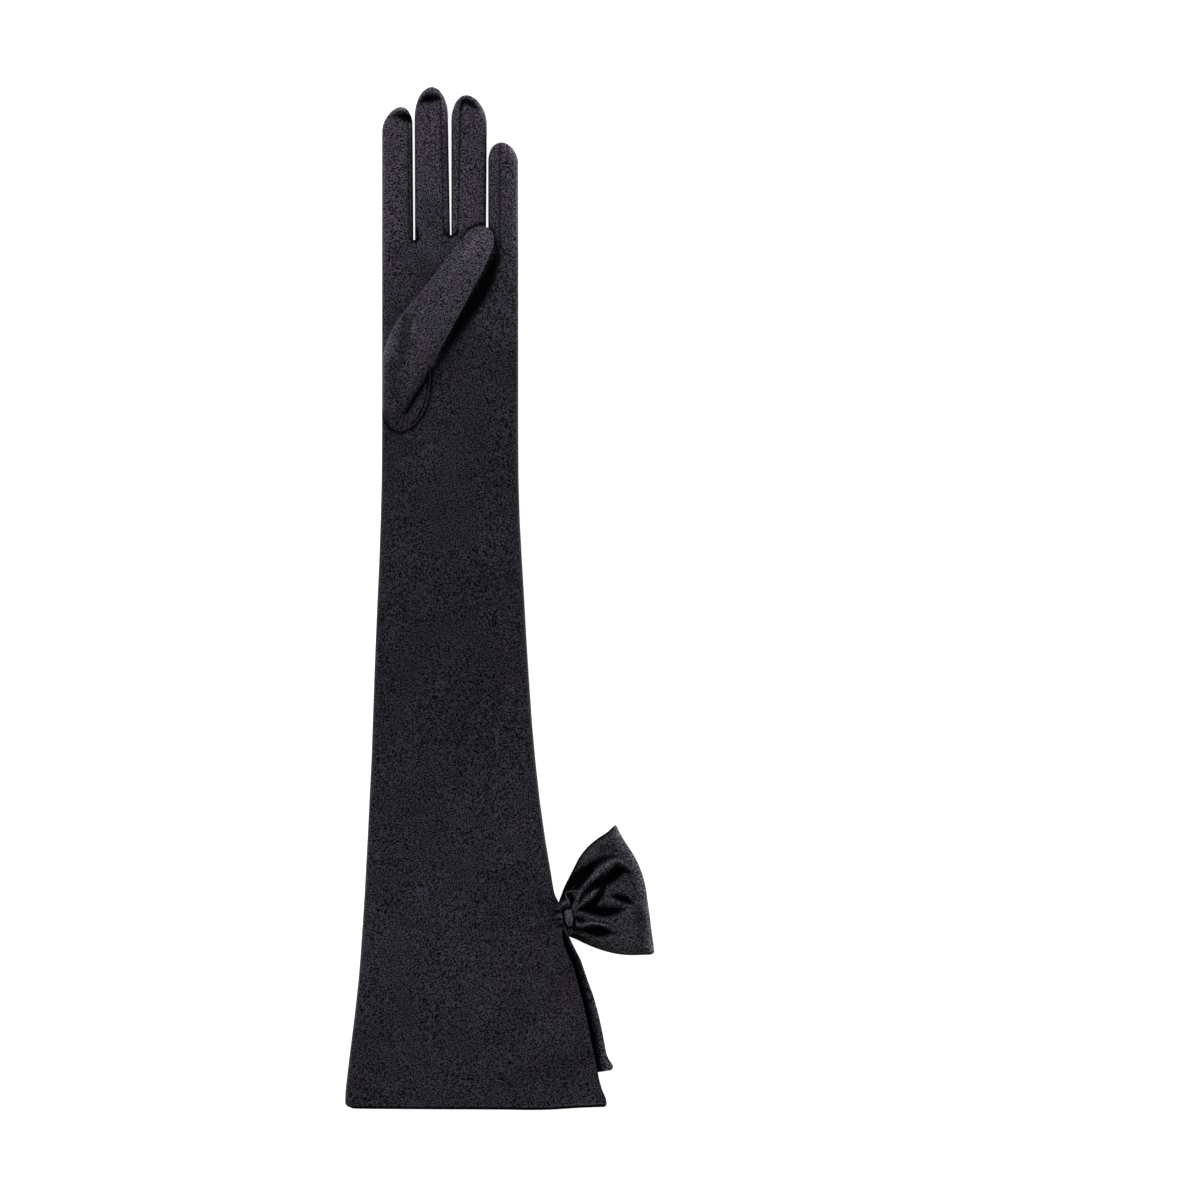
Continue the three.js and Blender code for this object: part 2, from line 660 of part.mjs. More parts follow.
const knot = waistBand(KNOT_WIDTH, KNOT_WALL + SEAM_GAP).subtract(waistHole);

// The scene
const satin = new THREE.MeshStandardMaterial({ color: 0x24222a, roughness: 0.42, metalness: 0 });
const glossySatin = new THREE.MeshStandardMaterial({
  color: 0x1b1a1e,
  roughness: 0.3,
  metalness: 0,
});

function meshOf(name, solid, material) {
  const { vertProperties, triVerts } = solid.getMesh();
  const geometry = new THREE.BufferGeometry()
    .setAttribute("position", new THREE.BufferAttribute(vertProperties, 3))
    .setIndex(new THREE.BufferAttribute(triVerts, 1));
  const mesh = new THREE.Mesh(geometry, material);
  mesh.name = name;
  return mesh;
}

const glove = new THREE.Group();
glove.add(
  meshOf("glove_body", gloveBody, satin),
  ...fourchettes.map((solid, index) => meshOf(FOURCHETTES[index].name, solid, satin)),
  meshOf("thumb", thumbPiece, satin),
  meshOf("bow", bowPiece, glossySatin),
  meshOf("bow_knot", knot, glossySatin),
);

// The origin is on the table, under the middle of the glove.
const box = new THREE.Box3().setFromObject(glove);
const centre = box.getCenter(new THREE.Vector3());
glove.position.set(-centre.x, -centre.y, -box.min.z);
const part = new THREE.Group();
part.add(glove);

export default part;
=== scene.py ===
import math

import bmesh
import bpy
import numpy as np
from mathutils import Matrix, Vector


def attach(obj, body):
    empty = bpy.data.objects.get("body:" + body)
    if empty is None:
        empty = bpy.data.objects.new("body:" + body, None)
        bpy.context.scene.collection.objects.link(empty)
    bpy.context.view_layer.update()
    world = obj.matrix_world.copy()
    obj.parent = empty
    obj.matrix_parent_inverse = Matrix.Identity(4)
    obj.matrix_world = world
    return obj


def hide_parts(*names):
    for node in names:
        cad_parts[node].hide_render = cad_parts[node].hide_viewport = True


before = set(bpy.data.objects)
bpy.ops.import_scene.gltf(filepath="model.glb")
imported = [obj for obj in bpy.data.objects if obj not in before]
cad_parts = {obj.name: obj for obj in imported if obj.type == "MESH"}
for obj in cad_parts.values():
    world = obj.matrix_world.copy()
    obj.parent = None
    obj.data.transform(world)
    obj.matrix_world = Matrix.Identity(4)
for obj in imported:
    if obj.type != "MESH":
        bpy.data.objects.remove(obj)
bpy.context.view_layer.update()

# Lengths in this file are millimetres in the frame of the CAD model. Meshes are made in metres.
MM = 0.001
SEED = 7
rng = np.random.default_rng(SEED)

# Camera: straight above, with the picture's middle beside the glove
VIEW_WIDTH = 708.0
VIEW_CENTRE = (59.5, -0.5)
LENS = 110.0
SENSOR = 36.0

# Plan of the sleeve from hem to wrist: height along Y, left side, right side
SLEEVE = [
    (-300.2, -91.3, 69.8), (-290.8, -91, 67.2), (-271.9, -88.8, 62.6), (-248.3, -85.8, 57.3),
    (-224.7, -83.2, 49.6), (-212.9, -82.2, 44.6), (-201.1, -81.4, 39.4), (-189.3, -80.6, 37.6),
    (-181.5, -80.1, 36.9), (-178.4, -79.9, 35.4), (-175.6, -79.7, 32.8), (-170.7, -79.4, 32),
    (-165.7, -79.2, 31.2), (-142.1, -77.9, 27.2), (-118.5, -76.8, 23.9), (-94.9, -75.6, 21.3),
    (-71.3, -74.8, 19.2), (-47.7, -74, 17.6), (-24.1, -73.1, 16.1), (-0.5, -72.1, 14.8),
    (23.1, -71, 13.4), (46.7, -70.2, 12.1), (70.3, -69.6, 11.4), (100, -69.4, 11.2),
    (230, -69.4, 11.2),
]
SLIT_TOP = -192.0

# The slit's edges in the upper and the lower layer: height along Y, place along X
FRONT_EDGE = [
    (-300.2, 63.2), (-297.6, 63.5), (-294.8, 63), (-290.4, 60.9), (-284.3, 59.1),
    (-279.8, 58.3), (-270.9, 56.3), (-261.5, 54.4), (-249.2, 51.8), (-238.1, 49.3),
    (-226, 46.1), (-215.2, 42.9), (-209, 40.2), (-203.3, 38), (-198, 36.9),
    (-192, 37.1),
]
BACK_EDGE = [
    (-300.2, 68.6), (-277, 67.3), (-275.4, 66.9), (-273.1, 65), (-269.8, 63.4),
    (-262.6, 62.1), (-254.2, 60.5), (-246.5, 58.8), (-240.3, 57.1), (-233.7, 55.2),
    (-227, 52.6), (-213.5, 48.1), (-205.4, 44.1), (-199.1, 41.3), (-195, 38.9),
    (-192, 37.1),
]

# The hem: where its sewing line and its row of stitches run, how far it rises in the lower
# layer, and the radii of its corners
HEM_Y = -300.2
BACK_HEM_RISE = 20.5
BACK_RISE_TOP = -246.0
HEM_DEPTH = 1.2
HEM_THREAD = 2.0
CORNER = 3.8
FRONT_CORNER = 1.6
BACK_CORNER = 2.6

# Fingers: sides at the root, how far each side has moved at the top, tip, length of the round
# end, how much higher its right side starts, the distance of the two seams from the finger's
# sides at root and top, how much each seam shows, and the height of the forks on both sides
FINGERS = [
    dict(left=-69.4, right=-50.8, drift=(0.0, -0.5), tip=290.4, cap=12.6, slant=2.3,
         seam_left=None, seam_right=(2.2, 2.4), show=(0, 1), forks=(212.4, 212.4)),
    dict(left=-49.9, right=-29.1, drift=(-0.2, -1.3), tip=302.7, cap=17.5, slant=0.4,
         seam_left=(1.2, 1.2), seam_right=(3.5, 4.2), show=(0.2, 1), forks=(212.4, 215.3)),
    dict(left=-28.4, right=-7.9, drift=(0.0, 0.5), tip=297.6, cap=16.0, slant=-1.5,
         seam_left=(4.0, 5.5), seam_right=(1.2, 1.2), show=(1, 0.5), forks=(215.3, 208.6)),
    dict(left=-6.6, right=11.2, drift=(0.0, -0.1), tip=269.9, cap=11.6, slant=-0.9,
         seam_left=(7.1, 7.1), seam_right=None, show=(1, 0), forks=(208.6, 208.6)),
]

# Heights of the cloth as it lies
BASE = 0.3
HAND_HEIGHT = 11.2
CUFF_HEIGHT = 13.4
HAND_START = 69.0
MIDDLE_SHARE = 0.45
CROWN = 0.5
CROWN_REACH = 45.0
SIDE_REACH = 5.2
LIPS = 5.6
SAG_ACROSS = 75
SAG_ALONG = 45
SEAM_DEPTH = 0.45
THUMB_SINK = 3.0
CLOTH = 0.8

# The bow's knot and its hidden half, which lifts the sleeve
KNOT = (38.9, -187.2)
HIDDEN_ANGLE = 193.0
HIDDEN_REACH = 49.0
HIDDEN_NARROW = 14.5
HIDDEN_SPAN = 78.0
HIDDEN_LIFT = 3.6
WAIST_LIFT = 4.6
LIFT_FADE = (4, 26)
WAIST_Z = 5.2
WAIST_THICK = 7.0


def spline(points, count):
    """Points at even parameter steps on a smooth curve through the given ones."""
    p = np.array(points, float)
    p = np.vstack([2 * p[0] - p[1], p, 2 * p[-1] - p[-2]])
    chord = np.linalg.norm(np.diff(p[1:-1], axis=0), axis=1)
    at = np.concatenate([[0], np.cumsum(chord)])
    out = []
    for d in np.linspace(0, at[-1], count):
        i = min(np.searchsorted(at, d, side="right") - 1, len(chord) - 1)
        t = (d - at[i]) / chord[i]
        a, b, c, e = p[i], p[i + 1], p[i + 2], p[i + 3]
        out.append(
            0.5 * (2 * b + (c - a) * t + (2 * a - 5 * b + 4 * c - e) * t * t
                   + (3 * b - a - 3 * c + e) * t ** 3)
        )
    return np.array(out)


def smoothstep(x, low, high):
    """0 below low, 1 above high, and a smooth rise between them."""
    t = np.clip((x - low) / (high - low), 0, 1)
    return t * t * (3 - 2 * t)


def mix(a, b, t):
    """From a to b as t goes from 0 to 1."""
    return a + (b - a) * t


def bell(d, width, power=2):
    """1 at no distance and next to nothing past two widths."""
    return np.exp(-((d / width) ** power))


def table_curve(rows, column):
    """A smoothed function of the first column."""
    rows = np.array(rows, float)
    y = np.linspace(rows[0, 0], rows[-1, 0], 900)
    x = np.interp(y, rows[:, 0], rows[:, column])
    kernel = np.exp(-np.linspace(-2, 2, 25) ** 2)
    kernel /= kernel.sum()
    wide = np.pad(x, 12, mode="reflect", reflect_type="odd")
    smooth = np.convolve(wide, kernel, mode="valid")
    return lambda at: np.interp(at, y, smooth)


left_side = table_curve(SLEEVE, 1)
right_side = table_curve(SLEEVE, 2)
front_edge = table_curve(FRONT_EDGE, 1)
back_edge = table_curve(BACK_EDGE, 1)


def line_distance(points, line):
    """Distance of each point to a polyline, in the plan."""
    p = np.asarray(points, float).reshape(-1, 2)
    a = np.asarray(line, float)[:-1]
    b = np.asarray(line, float)[1:]
    ab = b - a
    size = np.maximum((ab ** 2).sum(1), 1e-9)
    best = np.full(len(p), 1e9)
    for start in range(0, len(p), 2000):
        q = p[start:start + 2000, None, :]
        t = np.clip(((q - a) * ab).sum(2) / size, 0, 1)
        near = a + t[..., None] * ab
        best[start:start + 2000] = np.sqrt(((q - near) ** 2).sum(2)).min(1)
    return best


def nearest_on(points, line):
    """Distance of each point to a smooth line through the given places, and the share of the
    line's length where it is nearest."""
    p = np.asarray(points, float).reshape(-1, 2)
    curve = spline(line, 40) if len(line) > 2 else np.asarray(line, float)
    a, b = curve[:-1], curve[1:]
    ab = b - a
    size = np.maximum((ab ** 2).sum(1), 1e-9)
    length = np.sqrt(size)
    start = np.concatenate([[0], np.cumsum(length)[:-1]])
    distance, share = np.empty(len(p)), np.empty(len(p))
    for first in range(0, len(p), 4000):
        q = p[first:first + 4000, None, :]
        t = np.clip(((q - a) * ab).sum(2) / size, 0, 1)
        away = np.sqrt(((q - a - t[..., None] * ab) ** 2).sum(2))
        best = away.argmin(1)
        rows = np.arange(len(best))
        distance[first:first + 4000] = away[rows, best]
        share[first:first + 4000] = (start[best] + t[rows, best] * length[best]) / length.sum()
    return distance, share


def fold(points, rows, power=2.2):
    """How strongly a fold along a line shows at each point, from 0 to 1. Each row is a place on
    the line and the fold's half width there."""
    rows = np.array(rows, float)
    distance, share = nearest_on(points, rows[:, :2])
    step = np.linalg.norm(np.diff(rows[:, :2], axis=0), axis=1)
    at = np.concatenate([[0], np.cumsum(step)]) / step.sum()
    half = np.interp(share, at, rows[:, 2])
    return bell(distance, half, power) * np.sqrt(half / rows[:, 2].max())


def press(points, folds, z, tone, power=2.2, edge=3.2):
    """Presses folds into the heights and paints their shade and highlights into the tone, one after
    the other.
    """
    for rows, depth, shade in folds:
        z = z + depth * fold(points, rows, power)
        strength = np.clip(1.25 * fold(points, rows, edge), 0, 1) * (shade != 0)
        tone = mix(tone, shade, strength)
    return z, tone


def waves(points, count, shortest, longest, height):
    """Gentle unevenness as a sum of plane waves with fixed seeds."""
    p = np.asarray(points, float).reshape(-1, 2)
    total = np.zeros(len(p))
    for _ in range(count):
        turn = rng.uniform(0, math.pi)
        length = rng.uniform(shortest, longest)
        phase = rng.uniform(0, 2 * math.pi)
        along = p[:, 0] * math.cos(turn) + p[:, 1] * math.sin(turn)
        total += np.sin(2 * math.pi * along / length + phase)
    return total * height / math.sqrt(count)


# How the sleeve lies
def height_at(y):
    """Height of the flat glove from the cuff to the hand."""
    return mix(CUFF_HEIGHT, HAND_HEIGHT, smoothstep(y, HEM_Y, HAND_START))


def lift_at(x, y):
    """How far the bow's hidden half lifts the lower layer."""
    out = np.array([math.cos(math.radians(HIDDEN_ANGLE)), math.sin(math.radians(HIDDEN_ANGLE))])
    dx, dy = x - KNOT[0], y - KNOT[1]
    along = dx * out[0] + dy * out[1]
    aside = np.abs(-dx * out[1] + dy * out[0])
    spread = np.interp(along / HIDDEN_REACH, [0, 0.08, 0.16, 0.3, 0.5, 0.68, 0.86],
                       [0, 0, 0.26, 0.54, 0.76, 0.9, 1])
    half = mix(HIDDEN_NARROW, HIDDEN_SPAN, spread) / 2
    outside = np.maximum.reduce([aside - half, along - HIDDEN_REACH, -along, 0 * along])
    more = WAIST_LIFT * (1 - smoothstep(along / HIDDEN_REACH, 0, 0.4))
    return (HIDDEN_LIFT + more) * (1 - smoothstep(outside, *LIFT_FADE))


def sag_at(x, y):
    """How far the upper layer has sunk towards the slit, from 0 to 1."""
    edge = np.where(y < SLIT_TOP, front_edge(y), right_side(y))
    aside = smoothstep(x, edge - SAG_ACROSS, edge)
    return aside * (1 - smoothstep(y, SLIT_TOP, SLIT_TOP + SAG_ALONG))


def settle(x, y, z):
    """The cloth's height once the sleeve has sunk to the slit and lies over the bow."""
    height = height_at(y)
    share = np.clip((z - BASE) / (height - BASE), 0, 1.1)
    sag = sag_at(x, y)
    lift = lift_at(x, y) * mix(1, mix(0.35, 1, sag), share)
    return z + lift - (height - LIPS) * sag * share


def side_profile(d, reach=SIDE_REACH, power=3.0):
    """The rounded rise from a side, where it is 0, to the flat middle, where it is 1."""
    q = np.clip(d / reach, 0, 1)
    return (1 - (1 - q) ** power) ** (1 / power)


# Folds of the upper layer: rows of x, y and half width, then height and shade. The shade is
# painted into the colour: 1 paints black shade into the fold and a shade below 0 paints a
# highlight lighter than the cloth.
FOLDS = [
    # soft dents of the sleeve, some with faint painted shade
    ([(-18.4, -62.4, 3), (-21, -90, 3.6), (-25.5, -112.6, 3)], -0.2, 0.08),
    ([(-57, -193, 1.4), (-20, -194.5, 1.8), (28, -197, 1.4)], -0.3, 0.1),
    ([(-57, -196.5, 2), (-20, -198, 2.6), (24, -200.5, 2)], 0.3, 0),
    ([(-12, -150, 3), (-14, -200, 3), (-2, -228, 3)], -0.25, 0),
    ([(-40, -130, 7), (-10, -136, 7), (14, -140, 6)], 0.4, 0),
    ([(-60, -158, 6), (-30, -164, 6), (0, -163, 5)], -0.35, 0),
    ([(-70, -262, 5), (-60, -272, 6), (-62, -282, 5)], -0.5, 0),
    ([(-20, -250, 4), (10, -258, 5), (30, -262, 4)], 0.45, 0),
    ([(10, -284, 5), (34, -280, 6), (50, -270, 4)], -0.6, 0.12),
    ([(44, -252, 3), (38, -268, 4), (36, -280, 3)], 0.4, 0),
    # pinched cloth beside the knot, with painted shade in the pinches and painted highlights
    # between them
    ([(24, -179, 2.4), (30, -181, 2), (35.6, -184, 1.4)], -0.5, 0.3),
    ([(22, -197, 2.6), (29, -194, 2), (36, -189, 1.4)], -0.5, 0.25),
    ([(30.5, -184.2, 0.5), (34.6, -183.7, 0.8), (37.3, -183.7, 0.7)], -0.7, 0.95),
    ([(30, -186, 0.5), (34.3, -185.3, 0.7), (37.3, -184.9, 0.6)], -0.7, 0.9),
    ([(31.5, -188.9, 0.5), (34.4, -189.4, 0.8), (37.4, -188.4, 0.7)], -0.7, 0.9),
    ([(32.6, -193.6, 0.5), (36.1, -192.4, 0.9), (38, -190.4, 0.8)], -0.8, 0.95),
    ([(32.5, -182.6, 0.4), (34.2, -181.8, 0.6), (37.2, -183, 0.6)], 0.5, -0.6),
    ([(33.6, -187.6, 0.4), (34.8, -186.4, 0.6), (36.8, -186.6, 0.6), (37.4, -187.6, 0.5)],
     0.7, -1.3),
    ([(34.8, -191.4, 0.4), (36.8, -190.6, 0.6), (38.2, -189, 0.5)], 0.6, -0.7),
    ([(31.4, -170.5, 1.1), (32, -174.6, 1.3), (34, -178, 1.1)], -0.5, 0.45),
    # forks of the fingers, with painted shade
    ([(-60, 203, 5), (-53, 208, 4.5), (-50, 214, 1.5)], -0.5, 0.32),
    ([(-40, 232, 6), (-36.5, 220, 6), (-32, 211, 3.5)], -0.5, 0.3),
    ([(-51.6, 213, 0.7), (-49.8, 211.2, 1.2), (-47.6, 213.4, 1.4), (-48.6, 219, 0.8)],
     -0.4, 1),
    ([(-33, 218, 0.8), (-30.6, 215.4, 1.2), (-28.4, 214, 1.2), (-25.4, 215.8, 1),
      (-24.4, 217.6, 0.6)], -0.4, 0.97),
    ([(-8.6, 211, 0.9), (-7, 208, 1.2), (-5.4, 209.6, 1)], -0.3, 0.9),
    # palm and wrist, some with painted shade
    ([(-53, 204, 6), (-46, 196, 7.5), (-37, 187, 6)], -0.3, 0.24),
    ([(-64, 96, 3), (-56, 92, 3), (-44, 91, 2.4)], -0.45, 0.18),
    ([(-44, 94.5, 3), (-36, 103, 3.5), (-34, 114, 3)], 0.35, 0),
    ([(-69, 88, 3), (-60, 84, 4)], -0.4, 0),
    # painted shadow that the thumb lies in
    ([(-38, 135, 0.8), (-33, 144, 2), (-27, 155, 3.2), (-19.5, 167, 4.5),
      (-11.5, 180, 5), (-5.5, 191, 4.4), (-2, 201, 3), (-1.6, 209, 1.4)],
     -0.2, 0.94),
    ([(-22.4, 211.8, 0.6), (-18, 217.8, 1), (-13, 220.5, 1.3), (-9.4, 220.9, 1.1),
      (-5.8, 219.3, 0.9), (-3.2, 215.8, 0.9), (-2.6, 209, 1.2)], -0.1, 0.97),
]

# Creases under the fingertips, pressed in last, with black shade painted into them
TIP_FOLDS = [
    ([(-65.2, 284.4, 0.7), (-61.7, 285.1, 1.3), (-58.4, 285, 2.2), (-54.5, 284.2, 3),
      (-51.9, 283, 2.7)], -1.2, 1),
    ([(-46.8, 293, 1.3), (-44, 294.5, 2.6), (-41, 295.4, 3.1), (-37.4, 295.8, 2.7),
      (-34.8, 294.4, 1.1)], -1.2, 0.98),
    ([(-22.2, 288.8, 0.8), (-21.4, 292.2, 1.6), (-19.4, 293.6, 2.4), (-16.4, 292.2, 2.3),
      (-12.8, 289.4, 1.2)], -1, 0.95),
]


# The body's grid: columns close to a finger's sides and seams, and the widest and narrowest gap
EDGE_PLACES = [0, 0.22, 0.7, 1.35]
SEAM_PLACES = [-0.75, -0.3, 0, 0.3, 0.75]
SEAM_CLEAR = 0.95
WIDEST_GAP = 1.75
NARROWEST_GAP = 0.12


def finger_columns(finger):
    """Places across one finger at its root, in millimetres from its left side, and the two
    columns that its seams run on."""
    width = finger["right"] - finger["left"]
    places = EDGE_PLACES + [width - e for e in EDGE_PLACES]
    seams = {}
    for side in ("seam_left", "seam_right"):
        offset = finger[side]
        if offset is None:
            seams[side] = None
            continue
        middle = offset[0] if side == "seam_left" else width - offset[0]
        places = [p for p in places if abs(p - middle) > SEAM_CLEAR or p in (0, width)]
        places += [middle + step for step in SEAM_PLACES]
        seams[side] = middle
    places = sorted(p for p in places if -1e-6 <= p <= width + 1e-6)
    filled = [places[0]]
    for p in places[1:]:
        gap = p - filled[-1]
        count = max(1, math.ceil(gap / WIDEST_GAP))
        filled += [filled[-1] + gap * k / count for k in range(1, count + 1)]
    clean = [filled[0]]
    for p in filled[1:]:
        if p - clean[-1] > NARROWEST_GAP:
            clean.append(p)
    clean[-1] = width
    index = {
        side: None if middle is None else int(np.argmin(np.abs(np.array(clean) - middle)))
        for side, middle in seams.items()
    }
    return np.array(clean), index["seam_left"], index["seam_right"]


columns = []
first_column = []
fork_x = []
fork_y = []
for finger in FINGERS:
    places, seam_l, seam_r = finger_columns(finger)
    first_column.append(len(fork_x))
    columns.append((places, seam_l, seam_r))
    share = places / places[-1]
    fork_x += list(finger["left"] + places)
    fork_y += list(mix(finger["forks"][0], finger["forks"][1], share))
fork_x = np.array(fork_x)
fork_y = np.array(fork_y)
WIDE = len(fork_x)
hand_left, hand_right = fork_x[0], fork_x[-1]
fork_share = (fork_x - hand_left) / (hand_right - hand_left)

# Even places for the sleeve, closer at both sides
edge_places = np.array([0, 0.0016, 0.0052, 0.010, 0.0175, 0.028])
inner = np.linspace(0.041, 0.959, WIDE - 2 * len(edge_places))
even_share = np.concatenate([edge_places, inner, 1 - edge_places[::-1]])

# Rows from the hem to the forks
hem_rows = [HEM_Y + up for up in (0, 0.3, 0.6, 0.9, 1.2, 1.5, 1.75, 2.0, 2.3, 2.8, 3.6, 4.8)]
FORK_LOW = 208.0
FORK_BEND = 168.0
EVEN_BELOW = 120.0
UNEVEN_ABOVE = 205.0
# close rows where the slit, the thumb's seam and the forks are
ROW_STEPS = [
    (-216.0, 2.5), (-172.0, 1.3), (90.0, 3.6), (140.0, 1.2), (194.0, 2.1), (FORK_LOW, 0.9),
]
rows_up = list(hem_rows)
for top, step in ROW_STEPS:
    count = round((top - rows_up[-1]) / step)
    rows_up += list(np.linspace(rows_up[-1], top, count + 1)[1:])
row_y = np.array(rows_up)
slit_row = int(np.argmin(np.abs(row_y - SLIT_TOP)))
row_y[slit_row] = SLIT_TOP


def sheet_grid(back):
    """Plan of one layer up to the forks, rows by columns."""
    ys = np.repeat(row_y[:, None], WIDE, 1)
    ramp = smoothstep(ys, FORK_BEND, FORK_LOW)
    ys = ys + (fork_y - FORK_LOW)[None, :] * ramp
    blend = 1 - smoothstep(row_y, EVEN_BELOW, UNEVEN_ABOVE)
    share = mix(fork_share[None, :], even_share[None, :], blend[:, None])
    if back:
        rise = 0.4 + BACK_HEM_RISE * share
        low = np.clip((BACK_RISE_TOP - ys) / (BACK_RISE_TOP - HEM_Y), 0, 1)
        ys = ys + rise * low
    else:
        wave = 0.4 * np.sin(math.pi * share) + 0.9 * bell(share - 0.76, 0.13)
        ys = ys - wave * np.clip((HEM_Y + 12 - ys) / 12, 0, 1)
    left = left_side(ys)
    edge = back_edge if back else front_edge
    right = np.where(row_y[:, None] < SLIT_TOP, edge(ys), right_side(ys))
    # the hem's rounded corners
    for radius, column, way, near in ((CORNER, 0, 1, 1 - share),
                                      (BACK_CORNER if back else FRONT_CORNER, -1, -1, share)):
        foot = ys[0, column]
        rest = np.clip((foot + radius - ys[:, column:][:, :1]) / radius, 0, 1)
        pull = way * radius * (1 - np.sqrt(1 - rest ** 2)) * near ** 6
        if way > 0:
            left = left + pull
        else:
            right = right + pull
    xs = left + (right - left) * share
    return xs, ys


TIP_ROWS = 15


def finger_grid(number):
    """Plan of one finger from its fork to its tip, rows by columns, without the fork's row."""
    finger = FINGERS[number]
    places, seam_l, seam_r = columns[number]
    width = finger["right"] - finger["left"]
    first = first_column[number]
    root = fork_y[first:first + len(places)]
    straight = finger["tip"] - finger["cap"] + finger["slant"] * (places / width * 2 - 1)
    rows = max(6, int((straight.mean() - root.mean()) / 1.9))
    t = np.concatenate([[0.006, 0.015, 0.026], np.linspace(0.03, 1, rows)[1:]])
    xs, ys = [], []
    for share in t:
        # seams drift as they run to the tip
        before, after = [0.0], [0.0]
        for side, column in (("seam_left", seam_l), ("seam_right", seam_r)):
            if column is None:
                continue
            low, high = finger[side]
            want = mix(low, high, share)
            before.append(places[column])
            after.append(want if side == "seam_left" else width - want)
        own = np.interp(places, before + [width], after + [width])
        low = finger["left"] + finger["drift"][0] * share
        high = finger["right"] + finger["drift"][1] * share
        xs.append(low + own * (high - low) / width)
        ys.append(mix(root, straight, share))
    half = (xs[-1][-1] - xs[-1][0]) / 2
    centre = (xs[-1][-1] + xs[-1][0]) / 2
    u = np.clip((xs[-1] - centre) / half, -1, 1)
    for v in np.sin(np.linspace(0, math.pi / 2, TIP_ROWS + 1))[1:]:
        xs.append(centre + half * u * np.sqrt(1 - v * v / 2))
        ys.append(straight + finger["cap"] * v * np.sqrt(1 - u * u / 2))
    return np.array(xs), np.array(ys)


class Layer:
    """The vertices of one layer and where its blocks start."""

    def __init__(self, back, start):
        self.x, self.y = sheet_grid(back)
        blocks = [(self.x.ravel(), self.y.ravel())]
        self.palm = start + np.arange(self.x.size).reshape(self.x.shape)
        at = start + self.x.size
        self.fingers = []
        for number in range(len(FINGERS)):
            fx, fy = finger_grid(number)
            blocks.append((fx.ravel(), fy.ravel()))
            own = at + np.arange(fx.size).reshape(fx.shape)
            first = first_column[number]
            root = self.palm[-1:, first:first + fx.shape[1]]
            self.fingers.append(np.vstack([root, own]))
            at += fx.size
        self.xy = np.column_stack([np.concatenate([b[0] for b in blocks]),
                                   np.concatenate([b[1] for b in blocks])])
        self.size = at - start


front = Layer(False, 0)
back = Layer(True, front.size)
plan = np.vstack([front.xy, back.xy])


def closed_lines(layer):
    """The layer's sides that are folded or sewn: up the thumb's side, round the fingers and
    down to the slit."""
    path = list(layer.palm[:, 0])
    for number, grid in enumerate(layer.fingers):
        path += list(grid[1:, 0])
        path += list(grid[-1, 1:])
        path += list(grid[-2::-1, -1])
        if number + 1 < len(layer.fingers):
            path.append(layer.fingers[number + 1][0, 0])
    path += list(layer.palm[-2::-1, -1][: len(row_y) - 1 - slit_row])
    return path


front_path = closed_lines(front)
back_path = closed_lines(back)
outline = plan[front_path]


def upper_height(points, d):
    """Outer height of the upper layer at places in the plan."""
    x, y = points[:, 0], points[:, 1]
    height = height_at(y)
    middle = BASE + (height - BASE) * MIDDLE_SHARE
    crown = CROWN * smoothstep(d, 0, CROWN_REACH)
    z = middle + (height - middle) * side_profile(d) + crown
    return settle(x, y, z)


# The seam round the thumb's base, from the hand's edge up to where the thumb comes free
THUMB_SEAM = [
    (-69, 110.5), (-68, 106.5), (-65.3, 101.3), (-62, 98.9), (-56.9, 98),
    (-51.8, 100.3), (-48.4, 103.1), (-45, 107.6), (-42.8, 111.6), (-41.1, 117.8),
    (-40.2, 122.9), (-39.7, 128.5), (-39.4, 135.3),
]
seam_line = spline(THUMB_SEAM, 90)
thumb_base = np.vstack([seam_line, [(-46.5, 140)], [(-66, 147)], [(-69, 128)]])


def inside(points, polygon):
    """Which points lie inside a polygon in the plan."""
    p = np.asarray(points, float)
    poly = np.asarray(polygon, float)
    x, y = p[:, 0], p[:, 1]
    result = np.zeros(len(p), bool)
    j = len(poly) - 1
    for i in range(len(poly)):
        xi, yi = poly[i]
        xj, yj = poly[j]
        crosses = ((yi > y) != (yj > y)) & (
            x < (xj - xi) * (y - yi) / (yj - yi + 1e-12) + xi)
        result ^= crosses
        j = i
    return result


def upper_detail(points, d):
    """Folds and unevenness of the upper layer, and its tone of painted shade and highlights."""
    zero = np.zeros(len(points))
    z, tone = press(points, FOLDS, zero, zero)
    calm = smoothstep(d, 0, 6)
    on_hand = smoothstep(points[:, 1], 205, 222)
    z = z + waves(points, 26, 70, 190, 0.42) * calm * (1 - 0.8 * on_hand)
    z = z + waves(points, 40, 16, 42, 0.085) * mix(0.35, 1, calm)
    # the turned hem: a rolled edge, and the line that it is sewn along
    up = line_distance(points, front.xy[front.palm[0]])
    z = z + 0.3 * bell(up - 0.45, 0.5)
    z = z - 0.4 * bell(up - HEM_DEPTH, 0.35)
    # the rolled edge painted dark as shade, and the row of stitches painted lighter
    tone = mix(tone, 0.95, bell(up - 0.7, 0.8, 4))
    thread = mix(0.35, 1, smoothstep(points[:, 0], 0, 40)) * bell(up - HEM_THREAD, 0.4)
    tone = mix(tone, -1.3, thread)
    return z, tone


d_front = line_distance(front.xy, outline)
detail, tone_front = upper_detail(front.xy, d_front)
z_front = upper_height(front.xy, d_front) + detail * smoothstep(d_front, 0, 1.6)

d_back = line_distance(back.xy, plan[back_path])
bx, by = back.xy[:, 0], back.xy[:, 1]
b_height = height_at(by)
b_middle = BASE + (b_height - BASE) * MIDDLE_SHARE
z_back = b_middle - (b_middle - BASE) * side_profile(d_back)
z_back = settle(bx, by, z_back)
z_back += np.abs(waves(back.xy, 30, 40, 120, 0.25)) * smoothstep(d_back, 0, 6)

